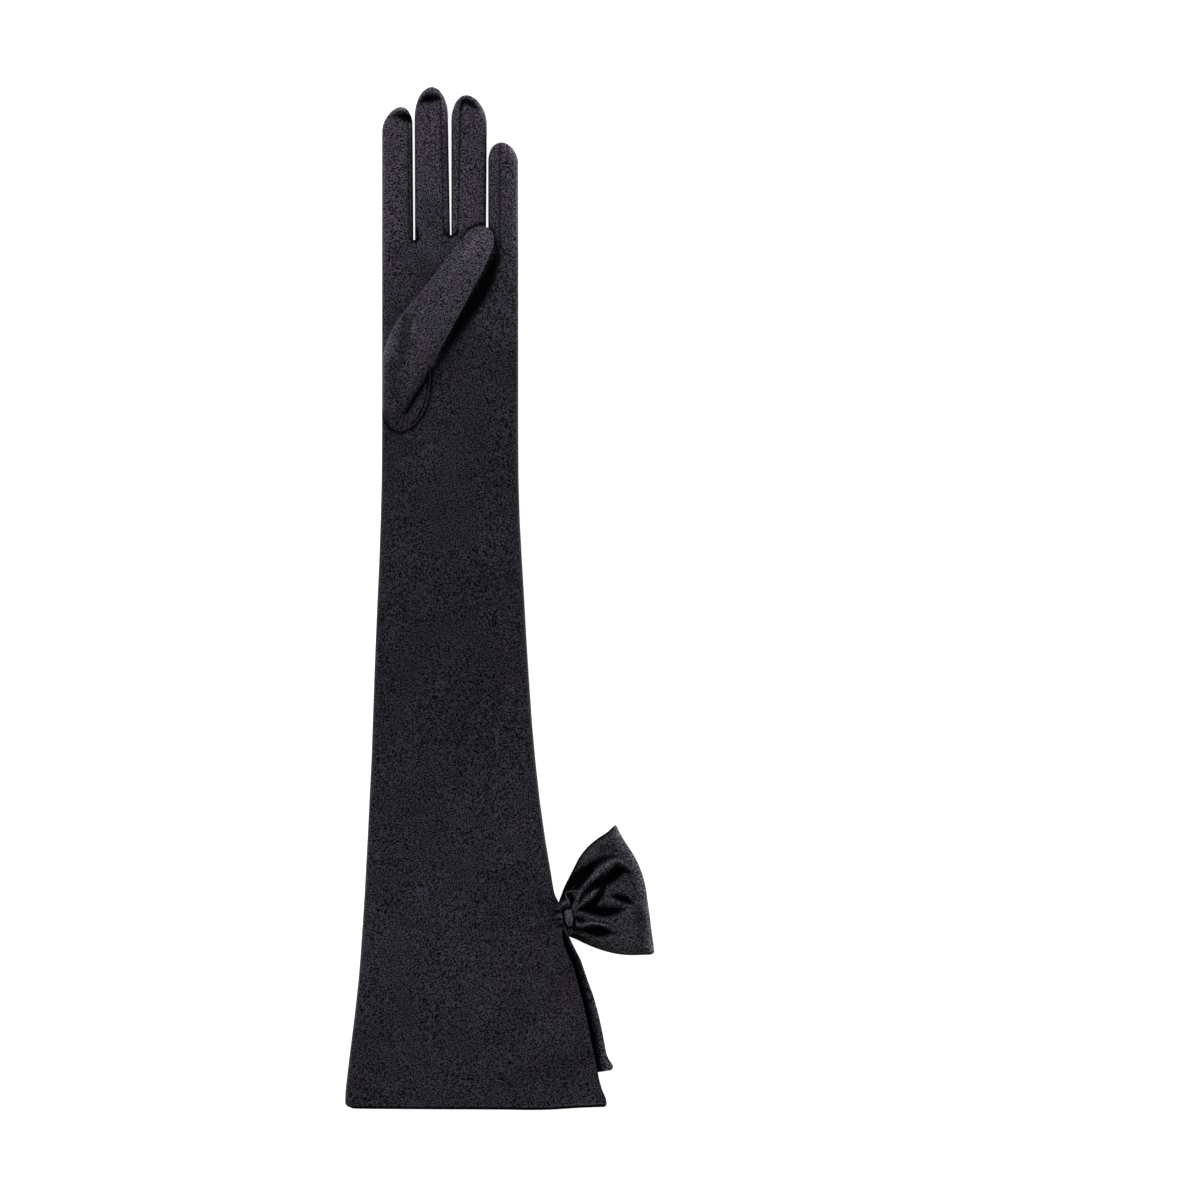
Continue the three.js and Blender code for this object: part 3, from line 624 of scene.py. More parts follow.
# seams of the fingers run in a fine groove
groove = np.zeros(len(front.xy))
for number, grid in enumerate(front.fingers):
    places, *seams = columns[number]
    strength = np.ones(grid.shape[0])
    strength[-6:] = np.linspace(1, 0.1, 6)
    for column, show in zip(seams, FINGERS[number]["show"]):
        if column is None:
            continue
        for step, share in ((0, 1), (-1, 0.55), (1, 0.55), (-2, 0.2), (2, 0.2)):
            place = grid[:, column + step]
            groove[place] = np.maximum(groove[place], share * show * strength)
z_front = z_front - SEAM_DEPTH * groove

# under the thumb's base the palm sinks, where the thumb is set in
in_base = inside(front.xy, thumb_base)
d_base = line_distance(front.xy, np.vstack([thumb_base, thumb_base[:1]]))
sink = np.where(in_base, THUMB_SINK * smoothstep(d_base, 0, 2.5), 0)
z_front = z_front - sink

z = np.concatenate([z_front, z_back])
xyz = np.column_stack([plan, z])

# painted shade along each finger's left and right side, painted rim light on some sides, and
# painted highlights on the round ends
FINGER_SIDE_SHADING = [(-0.2, 1), (1, 0.8), (0.8, 1), (1, -1.1)]
for number, grid in enumerate(front.fingers):
    finger = FINGERS[number]
    place = grid.ravel()
    x, y = front.xy[place].T
    edge_share = bell(d_front[place], 0.75)
    soft_share = bell(d_front[place], 2.4)
    to_tip = smoothstep(y, finger["tip"] - 1.5 * finger["cap"], finger["tip"] - 0.5 * finger["cap"])
    middle = (x[0] + x[grid.shape[1] - 1]) / 2
    for side, inside_half in zip(FINGER_SIDE_SHADING[number], (x < middle, x >= middle)):
        dark = edge_share * (1 - to_tip) if side > 0 else soft_share * (1 - to_tip)
        own = mix(tone_front[place], side, dark)
        tone_front[place] = np.where(inside_half, own, tone_front[place])
    lit = mix(0.25, 1, smoothstep(x, middle - 6, middle + 6)) * to_tip * soft_share
    tone_front[place] = mix(tone_front[place], -2, lit)
dent, tone_front = press(front.xy, TIP_FOLDS, np.zeros(len(front.xy)), tone_front)
xyz[:len(dent), 2] += dent * smoothstep(d_front, 0, 1.6)

# tone of the seams and of the thumb's seam, painted dark as their thread and the shade in their
# grooves, and of the cloth that the slit bares: a painted shadow of the upper layer on it, and
# painted light further out and along its edge
tone_front = mix(tone_front, 1, 0.8 * groove)
to_seam = line_distance(front.xy, seam_line)
tone_front = mix(tone_front, 1, bell(to_seam, 0.9))
past = back.xy[:, 0] - front_edge(back.xy[:, 1])
to_end = back_edge(back.xy[:, 1]) - back.xy[:, 0]
dark_to = mix(5.5, 9.5, smoothstep(back.xy[:, 1], -290, -240))
tone_back = 1 - 2.4 * smoothstep(past, 1.5, dark_to)
tone_back = mix(tone_back, -1.6, bell(to_end, 0.8))
tone_back = np.where(back.xy[:, 1] < SLIT_TOP, tone_back, 0)
tone_body = np.concatenate([tone_front, tone_back])

# the two layers share their closed sides
merged = np.arange(len(xyz))
merged[back_path] = front_path


def quads(grid, flip):
    """Four-sided faces between the neighbours of a grid of vertex numbers."""
    a, b = grid[:-1, :-1].ravel(), grid[:-1, 1:].ravel()
    c, d = grid[1:, 1:].ravel(), grid[1:, :-1].ravel()
    faces = np.column_stack([a, b, c, d])
    return faces[:, ::-1] if flip else faces


def clean_faces(faces):
    """Drops doubled corners and faces that have shrunk to a line."""
    out = []
    for face in faces:
        face = [int(v) for v in face]
        kept = [v for i, v in enumerate(face) if v != face[i - 1]]
        if len(set(kept)) >= 3:
            out.append(kept)
    return out


def make_object(name, points, faces, material, tone):
    """One mesh object from the faces' own vertices, in metres. The tone is painted shade and
    light: 1 paints black shade deep in a crease, below 0 paints a highlight on a lit ridge."""
    faces = clean_faces(faces)
    used = sorted({v for f in faces for v in f})
    new = {v: i for i, v in enumerate(used)}
    mesh = bpy.data.meshes.new(name)
    mesh.from_pydata([tuple(points[v] * MM) for v in used], [],
                     [[new[v] for v in f] for f in faces])
    mesh.validate()
    mesh.update()
    mesh.polygons.foreach_set("use_smooth", [True] * len(mesh.polygons))
    attribute = mesh.attributes.new("tone", "FLOAT", "POINT")
    attribute.data.foreach_set("value", np.clip(tone[used], -2, 1).astype(np.float32))
    mesh.materials.append(material)
    obj = bpy.data.objects.new(name, mesh)
    bpy.context.scene.collection.objects.link(obj)
    return obj


# Materials: sizes of the satin's grain, clouds and threads, and how deep its relief is in metres
GRAIN_SCALE = 1180.0
CLOUD_SCALE = 30.0
THREAD_SCALE = 2600.0
RELIEF = 0.0006


def satin_material(name, color, roughness, grain=0.98, sheen=0.005, gloss=0.05,
                   bump=0.6, rise=(0.14, 0.24, 1, 2)):
    """Satin: fine grain in colour, gloss and relief, soft clouds, painted shade in creases and
    painted highlights on ridges from the tone, and painted light that makes the cloth a little
    brighter towards the fingertips and towards the cuff."""
    material = bpy.data.materials.new(name)
    material.use_nodes = True
    nodes, links = material.node_tree.nodes, material.node_tree.links
    shader = nodes["Principled BSDF"]
    shader.inputs["Sheen Weight"].default_value = sheen
    shader.inputs["Sheen Roughness"].default_value = 0.5
    shader.inputs["Sheen Tint"].default_value = (0.88, 0.84, 1, 1)
    shader.inputs["Specular IOR Level"].default_value = gloss
    place = nodes.new("ShaderNodeTexCoord")

    def noise(scale, detail, rough=0.5):
        node = nodes.new("ShaderNodeTexNoise")
        node.inputs["Scale"].default_value = scale
        node.inputs["Detail"].default_value = detail
        node.inputs["Roughness"].default_value = rough
        links.new(place.outputs["Object"], node.inputs["Vector"])
        return node

    def ramp(source, low, high, a, b):
        node = nodes.new("ShaderNodeMapRange")
        node.inputs["From Min"].default_value = low
        node.inputs["From Max"].default_value = high
        node.inputs["To Min"].default_value = a
        node.inputs["To Max"].default_value = b
        links.new(source, node.inputs["Value"])
        return node.outputs["Result"]

    def multiply(a, b):
        node = nodes.new("ShaderNodeMath")
        node.operation = "MULTIPLY"
        links.new(a, node.inputs[0])
        links.new(b, node.inputs[1])
        return node.outputs[0]

    fine = noise(GRAIN_SCALE, 1.5, 0.8)
    patch = noise(CLOUD_SCALE, 4.0)
    threads = noise(THREAD_SCALE, 1.0)
    # the tone attribute: painted shade in creases and shadows, painted highlights on ridges and
    # edges
    crease = nodes.new("ShaderNodeAttribute")
    crease.attribute_name = "tone"
    speck = ramp(fine.outputs["Fac"], 0.43, 0.6, 1 - grain, 1 + grain * 1.9)
    cloud = ramp(patch.outputs["Fac"], 0.3, 0.7, 0.86, 1.14)
    painted_shading = ramp(crease.outputs["Fac"], -2.0, 1.0, 3.0, 0.0)
    split = nodes.new("ShaderNodeSeparateXYZ")
    links.new(place.outputs["Object"], split.inputs[0])
    # painted light: the colour brightens towards the fingertips and towards the cuff
    painted_light_by_y = multiply(ramp(split.outputs["Y"], *rise),
                      ramp(split.outputs["Y"], -0.2, -0.05, 1.4, 1.0))
    tint = nodes.new("ShaderNodeVectorMath")
    tint.operation = "SCALE"
    tint.inputs[0].default_value = color
    links.new(multiply(multiply(speck, cloud), multiply(painted_shading, painted_light_by_y)),
              tint.inputs["Scale"])
    links.new(tint.outputs[0], shader.inputs["Base Color"])
    rough = nodes.new("ShaderNodeMath")
    rough.operation = "ADD"
    links.new(ramp(fine.outputs["Fac"], 0.36, 0.64, roughness - 0.09, roughness + 0.09),
              rough.inputs[0])
    links.new(ramp(crease.outputs["Fac"], 0.0, 1.0, 0.0, 0.45), rough.inputs[1])
    links.new(rough.outputs[0], shader.inputs["Roughness"])
    height = nodes.new("ShaderNodeMath")
    height.operation = "MULTIPLY_ADD"
    links.new(threads.outputs["Fac"], height.inputs[0])
    height.inputs[1].default_value = 0.25
    links.new(fine.outputs["Fac"], height.inputs[2])
    relief = nodes.new("ShaderNodeBump")
    relief.inputs["Strength"].default_value = bump
    relief.inputs["Distance"].default_value = RELIEF
    links.new(height.outputs[0], relief.inputs["Height"])
    links.new(relief.outputs[0], shader.inputs["Normal"])
    return material


# The body's black satin, and lighter copies of it with painted light: the thumb's, darker at its
# base and brighter towards its tip, the bow's, and the knot's, whose sheen is painted into its
# colour.
satin = satin_material("black_satin", (0.0222, 0.0197, 0.0260), 0.5)
lit_thumb_satin = satin_material("black_satin_thumb_painted_light", (0.0270, 0.0241, 0.0312), 0.5,
                             rise=(0.10, 0.18, 0.72, 2.1))
bow_satin = satin_material("black_satin_bow_painted_light", (0.0262, 0.0238, 0.0294), 0.46)
lit_knot_satin = satin_material("black_satin_knot_painted_sheen", (0.0960, 0.0910, 0.1020), 0.46, grain=0.5)

# Glove body and side strips
body_faces = []
strip_faces = [[], [], []]


def add_finger_faces(layer, flip):
    """Faces of the fingers: those outside a seam belong to the strip there."""
    for number, grid in enumerate(layer.fingers):
        places, seam_l, seam_r = columns[number]
        for r in range(grid.shape[0] - 1):
            row = quads(grid[r:r + 2], flip)
            for c in range(grid.shape[1] - 1):
                target = body_faces
                if seam_l is not None and c < seam_l:
                    target = strip_faces[number - 1]
                if seam_r is not None and c >= seam_r:
                    target = strip_faces[number]
                target.append(row[c])


STRIP_POINT = 3


def add_palm_faces(layer, flip):
    """Faces below the forks, where each strip runs out to a point over a few rows."""
    rows, cols = layer.palm.shape
    for r in range(rows - 1):
        row = quads(layer.palm[r:r + 2], flip)
        below = rows - 2 - r
        for c in range(cols - 1):
            target = body_faces
            if below < STRIP_POINT:
                for number in range(3):
                    gap = first_column[number + 1] - 1
                    seam_r = first_column[number] + columns[number][2]
                    seam_l = first_column[number + 1] + columns[number + 1][1]
                    share = below / STRIP_POINT
                    low = round(mix(seam_r, gap, share))
                    high = round(mix(seam_l, gap + 1, share))
                    if low <= c < high:
                        target = strip_faces[number]
            target.append(row[c])


for layer, flip in ((front, False), (back, True)):
    add_palm_faces(layer, flip)
    add_finger_faces(layer, flip)

body_faces = merged[np.array(body_faces)]
body = make_object("glove_body_cloth", xyz, body_faces, satin, tone_body)
strips = [
    make_object(name + "_cloth", xyz, merged[np.array(faces)], satin, tone_body)
    for name, faces in zip(
        ("fourchette_index_middle", "fourchette_middle_ring", "fourchette_ring_little"),
        strip_faces)
]


def thicken(obj, thickness=CLOTH):
    """Gives a layer of cloth its thickness, inwards, and keeps the result as its mesh."""
    modifier = obj.modifiers.new("cloth", "SOLIDIFY")
    modifier.thickness = thickness * MM
    modifier.offset = -1
    modifier.use_rim = True
    bpy.context.view_layer.objects.active = obj
    bpy.context.view_layer.update()
    depsgraph = bpy.context.evaluated_depsgraph_get()
    mesh = bpy.data.meshes.new_from_object(obj.evaluated_get(depsgraph))
    obj.modifiers.clear()
    old = obj.data
    obj.data = mesh
    bpy.data.meshes.remove(old)
    mesh.name = obj.name


for obj in [body, *strips]:
    thicken(obj)


# Thumb
# Rows from the base to the start of the tip: left and right side in the plan, height of the
# cloth over the palm, how far it has left the palm, and where the crease runs across
THUMB = [
    (-58.6, 98.1, -55, 98.2, 0.2, 0, 0.5),
    (-62, 98.9, -51.8, 100.3, 0.6, 0, 0.5),
    (-65.3, 101.3, -48.4, 103.1, 1.2, 0, 0.5),
    (-68, 106.5, -45, 107.6, 1.9, 0, 0.5),
    (-69, 110.8, -42.8, 111.6, 2.8, 0, 0.575),
    (-69.1, 116.8, -41.1, 117.8, 3.9, 0, 0.67),
    (-69.1, 124.5, -40, 124.5, 5.3, 0, 0.80),
    (-69.1, 133.5, -39.4, 131.8, 6.8, 0.1, 0.93),
    (-68.8, 142.8, -38, 138.8, 8, 0.35, 1),
    (-66.6, 150.9, -35.4, 145.2, 8.2, 0.7, 1),
    (-62.9, 159.4, -31.8, 152, 8.2, 1, 1),
    (-56, 169.8, -27.2, 160.2, 8.3, 1, 1),
    (-48.6, 178.2, -22.8, 168.2, 8.3, 1, 1),
    (-42.8, 185.4, -19, 175.6, 8.3, 1, 1),
    (-36.9, 192.9, -15.1, 182.8, 8.3, 1, 1),
    (-31.4, 200.5, -11.3, 189.8, 8.3, 1, 1),
    (-25.7, 207.7, -7.6, 197.2, 8.1, 1, 1),
    (-20.6, 213.4, -4.5, 204.6, 7.8, 1, 1),
]
THUMB_CAP = 11.4
THUMB_ACROSS = 68
THUMB_ROWS = 190
THUMB_TIP_ROWS = 18
THUMB_BUNCH = 1.46
# Folds of the thumb: rows of x, y and half width, then height and shade. The shade is painted
# shade, and below 0 a painted highlight.
THUMB_FOLDS = [
    ([(-54.6, 167, 2.2), (-54.2, 159.6, 3.2), (-55.4, 151.1, 3.2), (-57.6, 142.7, 3),
      (-59.7, 134.2, 2.2)], -1, 0.5),
    ([(-62, 146, 3), (-62.5, 134, 4.5), (-61, 120, 3)], -0.3, 0.3),
    ([(-63.8, 156, 0.8), (-63, 150, 2.4), (-65, 141, 2)], 0.5, -0.18),
    ([(-44, 152, 4), (-46, 140, 5), (-50, 126, 4)], 0.5, -0.12),
    ([(-30, 184, 4), (-36, 173, 4)], -0.3, 0.08),
    ([(-20, 201, 4), (-13, 210, 4)], 0.3, -0.12),
]


def thumb_mesh():
    """The thumb: a lofted stall with a flat gusset at its base, upper and lower side."""
    curve = spline(THUMB, THUMB_ROWS)
    q = np.linspace(-1, 1, THUMB_ACROSS + 1)
    share = (np.sin(q * THUMB_BUNCH) / math.sin(THUMB_BUNCH) + 1) / 2
    xs = curve[:, 0:1] + (curve[:, 2:3] - curve[:, 0:1]) * share
    ys = curve[:, 1:2] + (curve[:, 3:4] - curve[:, 1:2]) * share
    # round tip
    left, right = curve[-1, 0:2], curve[-1, 2:4]
    centre, half = (left + right) / 2, (right - left) / 2
    forward = np.array([-half[1], half[0]]) / np.linalg.norm(half)
    u = share * 2 - 1
    steps = np.sin(np.linspace(0, math.pi / 2, THUMB_TIP_ROWS))[1:]
    for v in steps:
        tip = centre + np.outer(u * np.sqrt(1 - v * v / 2), half) + np.outer(
            v * np.sqrt(1 - u * u / 2) * THUMB_CAP, forward)
        xs = np.vstack([xs, tip[:, 0]])
        ys = np.vstack([ys, tip[:, 1]])
    last = np.repeat(curve[-1:], len(steps), 0)
    tall, free, crease = (
        np.repeat(column[:, None], len(share), 1)
        for column in np.vstack([curve, last])[:, 4:7].T
    )
    across = np.repeat(share[None, :], len(xs), 0)

    places = np.column_stack([xs.ravel(), ys.ravel()])
    # the palm under each place, and a level plane where the thumb lies free
    d = np.where(inside(places, outline), line_distance(places, outline), 0)
    palm = upper_height(places, d).reshape(xs.shape)
    base = mix(palm, HAND_HEIGHT + 0.85, free)

    # distance to the thumb's own sides, round the tip and open at the base
    side = np.vstack([
        np.column_stack([xs[:, 0], ys[:, 0]]),
        np.column_stack([xs[-1, 1:], ys[-1, 1:]]),
        np.column_stack([xs[-2::-1, -1], ys[-2::-1, -1]]),
    ])
    to_side = line_distance(places, side).reshape(xs.shape)
    crease_line = np.column_stack([mix(xs[:, 0], xs[:, -1], crease[:, 0]),
                                   mix(ys[:, 0], ys[:, -1], crease[:, 0])])
    to_crease = line_distance(places, crease_line).reshape(xs.shape)
    on_tube = across <= crease + 1e-6
    near = np.where(crease < 0.995, np.minimum(to_side, to_crease), to_side)
    near = np.where(on_tube, near, 0)
    # flat and thin on the left, full and lifted on the right
    reach = mix(15.0, 6.0, smoothstep(across / np.maximum(crease, 0.2), 0.15, 0.85))
    profile = side_profile(near, reach, 2.0)
    middle = tall * free * mix(0.04, 0.56, smoothstep(across, 0.1, 0.92))
    # gusset: a flat piece at the palm's level, a little raised
    gusset = np.where(on_tube, 0, 0.5 * (1 - free)) * smoothstep(to_side, 0, 2.5)
    z_top = base + np.where(on_tube, middle + (tall - middle) * profile, gusset)
    flat = np.zeros(len(places))
    dent, tone = press(places, THUMB_FOLDS, flat, flat)
    dent = dent + waves(places, 24, 14, 40, 0.12)
    z_top = z_top + dent.reshape(xs.shape) * smoothstep(to_side, 0.3, 3.0)
    # the seam: the edge sinks into the palm, then a narrow welt and a second line
    to_seam = line_distance(places, seam_line).reshape(xs.shape)
    right_part = smoothstep(xs, -56.0, -48.0)
    sewn = 1 - smoothstep(free, 0.05, 0.4)
    ring = (-0.9 * bell(to_seam, 0.4)
            + 0.35 * bell(to_seam - 1.15, 0.4)
            - 0.55 * bell(to_seam - 2.1, 0.45) * right_part)
    z_top = z_top + ring * sewn
    # lower side: near the palm on the left, curved up on the right
    z_low = base + middle - middle * profile * 0.97
    z_low = np.where(free < 0.999, mix(base - 1.6, z_low, smoothstep(free, 0, 1)), z_low)
    z_low = np.minimum(z_low, z_top - 0.05)

    # painted shade: dark lines along the seam and its second line, a dark band over the left part
    # of the free thumb and black in the crease; a painted highlight on the welt
    tone = tone.reshape(xs.shape)
    for dark in (
        bell(to_seam, 1.05) * sewn,
        0.9 * bell(to_seam - 2.3, 0.55) * sewn * right_part,
        0.3 * bell(across - 0.16, 0.16) * smoothstep(free, 0.5, 1.0),
        bell(to_crease, 1.45) * (crease < 0.985) * smoothstep(tall, 1.9, 2.6),
    ):
        tone = mix(tone, 1.0, dark)
    tone = mix(tone, -0.25, bell(to_seam - 1.15, 0.3) * sewn * right_part)

    rows, cols = xs.shape
    points = np.vstack([np.column_stack([xs.ravel(), ys.ravel(), z.ravel()])
                        for z in (z_top, z_low)])
    grid_top = np.arange(rows * cols).reshape(rows, cols)
    grid_low = grid_top + rows * cols
    merge = np.arange(len(points))
    merge[grid_low[:, 0]] = grid_top[:, 0]
    merge[grid_low[:, -1]] = grid_top[:, -1]
    merge[grid_low[0]] = grid_top[0]
    merge[grid_low[-1]] = grid_top[-1]
    faces = np.vstack([quads(grid_top, False), quads(grid_low, True)])
    return points, merge[faces], np.tile(tone.ravel(), 2)


thumb_points, thumb_faces, thumb_tone = thumb_mesh()
thumb = make_object("thumb_cloth", thumb_points, thumb_faces, lit_thumb_satin, thumb_tone)

# Bow
# The knot's band: middle in the plan, turn, half sizes, and the height of its middle
BAND_MIDDLE = (41.1, -188.4)
BAND_ANGLE = 14.0
BAND_LONG = 5.5
BAND_TALL = 4.6
BAND_WIDE = 2.75
BAND_Z = 5.5

# Outline of the half that shows
BOW_TOP = [(35.3, -178.4), (38.5, -170.1), (41.3, -164.4), (44.2, -158.7), (47, -153.3),
           (49.9, -149.3), (53, -145.9), (57.9, -141.9), (63.6, -138.1), (66.6, -135.3),
           (67.9, -133.9)]
BOW_OUTER = [(91, -210), (91.7, -208.6), (91.2, -204), (89.9, -194.7), (89, -187.3),
             (87.9, -179.8), (87, -173), (85.6, -166.1), (83.3, -159.3), (80.7, -153.6),
             (78.4, -149.6), (74.4, -143.6), (70.8, -137.4), (69.4, -134.3), (67.9, -133.9)]
BOW_BOTTOM = [(40.6, -199.2), (45.3, -201.2), (49.9, -203.5), (56.7, -206.4), (63.6, -208.7),
              (70.4, -210.2), (77.3, -210.8), (84.2, -210.7), (89.4, -210.5), (91, -210.0)]
BOW_KNOT = [(40.6, -199.2), (38.3, -194.6), (37.9, -188), (36.8, -182.4), (35.3, -178.4)]

# Folds of the half that shows: rows of x, y and half width, then height and shade. The shade is
# painted: 1 paints black shade into a valley and below 0 paints a highlight on a ridge.
BOW_FOLDS = [
    # painted shade: a faint patch near the top and a band beside the outer edge
    ([(59.5, -147.6, 1.6), (63.2, -147, 2.2), (66.8, -146.6, 1.4)], -0.4, 0.3),
    ([(81.6, -183, 2), (83.6, -190, 3.2), (83.8, -200, 2)], -0.7, 0.35),
    # valley from the upper left edge, painted black as shade
    ([(37.9, -176.4, 2), (41.3, -169, 3.4), (45.3, -165.6, 3.9), (49.9, -161.6, 3.6),
      (53.9, -158.4, 2.9), (58.5, -155.3, 2.4), (63, -153.3, 1.7), (67, -152.4, 1.1),
      (69.6, -152.3, 0.5)], -2.6, 1),
    # valley under the great ridge, painted black as shade
    ([(47.3, -179, 0.8), (49.3, -175, 1.5), (52.7, -172.1, 2), (57.3, -169.3, 2.6),
      (61.3, -167.7, 3.1), (64.7, -165.3, 3.8), (68.2, -162.4, 4.3), (70.7, -161, 4.1),
      (73.6, -160.7, 2.5), (76.2, -161.6, 1.4), (78.4, -162.4, 0.6)], -3, 1),
    # both valleys reach close to the great ridge
    ([(43.4, -172.2, 1.2), (46.5, -169.8, 1.6), (49.6, -166.2, 1.7), (52.6, -163, 1.5),
      (55.2, -160.2, 1)], -1, 1),
    ([(50.4, -172.8, 0.9), (53.6, -169.3, 1.4), (57.2, -166.4, 1.6), (60.7, -163.8, 1.3)],
     -1, 1),
    ([(46.7, -184.2, 1), (51, -182, 1.9), (55, -179.6, 2.5), (57.9, -176.8, 2.7),
      (60, -173.6, 2.4), (61.6, -170.6, 1.6)], -1.8, 1),
    # valleys in the middle, painted black as shade
    ([(48, -183.6, 1.4), (52, -183.8, 2.4), (56.4, -184.2, 3.2), (61, -184.7, 3.7),
      (65.6, -184.7, 3.3), (70, -184, 2.4), (73.6, -183.6, 0.9)], -2.6, 1),
    ([(66.4, -175.4, 1.1), (70.2, -176, 2.2), (74.4, -177.5, 2.6), (77, -178.8, 1.9),
      (79, -179.8, 0.8)], -1.1, 1),
    # lowest valley, painted black as shade, and its painted dark tail along the seam
    ([(43.4, -194.9, 1.5), (47, -195.5, 1.9), (51, -195.7, 2.4), (54.5, -195.9, 3.1),
      (57.9, -196.2, 3.7), (61.3, -196.6, 3.3), (64.1, -197, 2.3), (66.9, -197.4, 0.9)],
     -2.4, 1),
    ([(43, -197.6, 1), (46.5, -199.2, 1.3), (50, -200.6, 1), (52.6, -201.6, 0.5)],
     -0.8, 0.9),
    # shade painted inside the loops beside the knot
    ([(41.4, -173.8, 1.2), (42.7, -176.6, 2.1), (43, -179.8, 1.2)], -1.6, 1),
    ([(45.6, -188.6, 1.2), (47.6, -189.4, 1.9), (50.4, -190.2, 1)], -1.4, 0.95),
    # the great ridge with a painted highlight, and a narrow groove along its lower stretch with
    # painted shade
    ([(43.4, -183, 0.5), (45.6, -179.4, 0.6), (46.9, -175.6, 0.8), (49.9, -170.7, 1),
      (53.3, -166.7, 1.3), (57.3, -162.7, 1.8), (61.3, -159.3, 2.1), (64.7, -156.7, 1.9),
      (68.2, -154.7, 1.5), (71.3, -155, 0.9), (73.9, -156.7, 0.7), (76.7, -159.3, 0.6)],
     2.6, -1),
    ([(47.6, -174.6, 0.25), (49.9, -170.9, 0.32), (52.9, -167.4, 0.3), (55, -165.4, 0.2)],
     -0.6, 0.7),
    # outline of the loop that the ridge ends in, with a painted highlight
    ([(45.1, -172.2, 0.3), (42.7, -172.6, 0.38), (40, -173.2, 0.38), (39.2, -174.8, 0.4),
      (40.3, -177.4, 0.4), (41.5, -180.4, 0.4)], 1.5, -1.2),
    # short ridge with a painted highlight that widens into a light patch
    ([(43.9, -184, 0.35), (47.5, -180.9, 0.4), (51.1, -178.3, 0.6), (54.1, -175.8, 1),
      (56.2, -173.2, 1.2), (57.4, -172.2, 0.6)], 1.7, -1.2),
    # ridges round the loop at the knot's middle, with painted highlights
    ([(44.5, -186.2, 0.4), (46.6, -184.9, 0.5), (49, -185.2, 0.5), (51.1, -186.7, 0.6),
      (54.1, -188, 0.9), (58, -189.3, 1), (64, -190, 0.8)], 1.3, -0.35),
    ([(44.8, -191.3, 0.4), (46.6, -192.5, 0.45), (49.3, -193.1, 0.5), (52, -192.3, 0.5),
      (54.7, -191.4, 0.5), (59.3, -191.9, 0.6), (64, -192.9, 0.5)], 1.3, -1.4),
    ([(49.3, -196.2, 0.2), (51.4, -197.8, 0.35), (53.4, -199.4, 0.2)], 0.6, -0.2),
    # gathers above and below the knot, with painted highlights
    ([(36.6, -181.2, 0.7), (38, -180.4, 1), (39.8, -179.2, 0.8)], 1.8, -1.2),
    ([(39.3, -191.6, 0.35), (38.9, -194.6, 0.5), (39.2, -197.2, 0.5), (40.6, -198.8, 0.35)],
     1.2, -1),
    ([(42.7, -194.4, 0.3), (42.8, -196.8, 0.4), (41.5, -198, 0.3)], 0.9, -0.5),
]


def coons(bottom, top, inner, outer, count_across, count_along):
    """A grid of places spread evenly between four smooth sides."""
    b = spline(bottom, count_along)
    t = spline(top, count_along)
    k = spline(inner, count_across)
    o = spline(outer, count_across)
    v = np.linspace(0, 1, count_across)[:, None, None]
    u = np.linspace(0, 1, count_along)[None, :, None]
    face = (1 - u) * k[:, None] + u * o[:, None] + (1 - v) * b[None] + v * t[None]
    corners = ((1 - v) * (1 - u) * b[0] + (1 - v) * u * b[-1]
               + v * (1 - u) * t[0] + v * u * t[-1])
    return face - corners


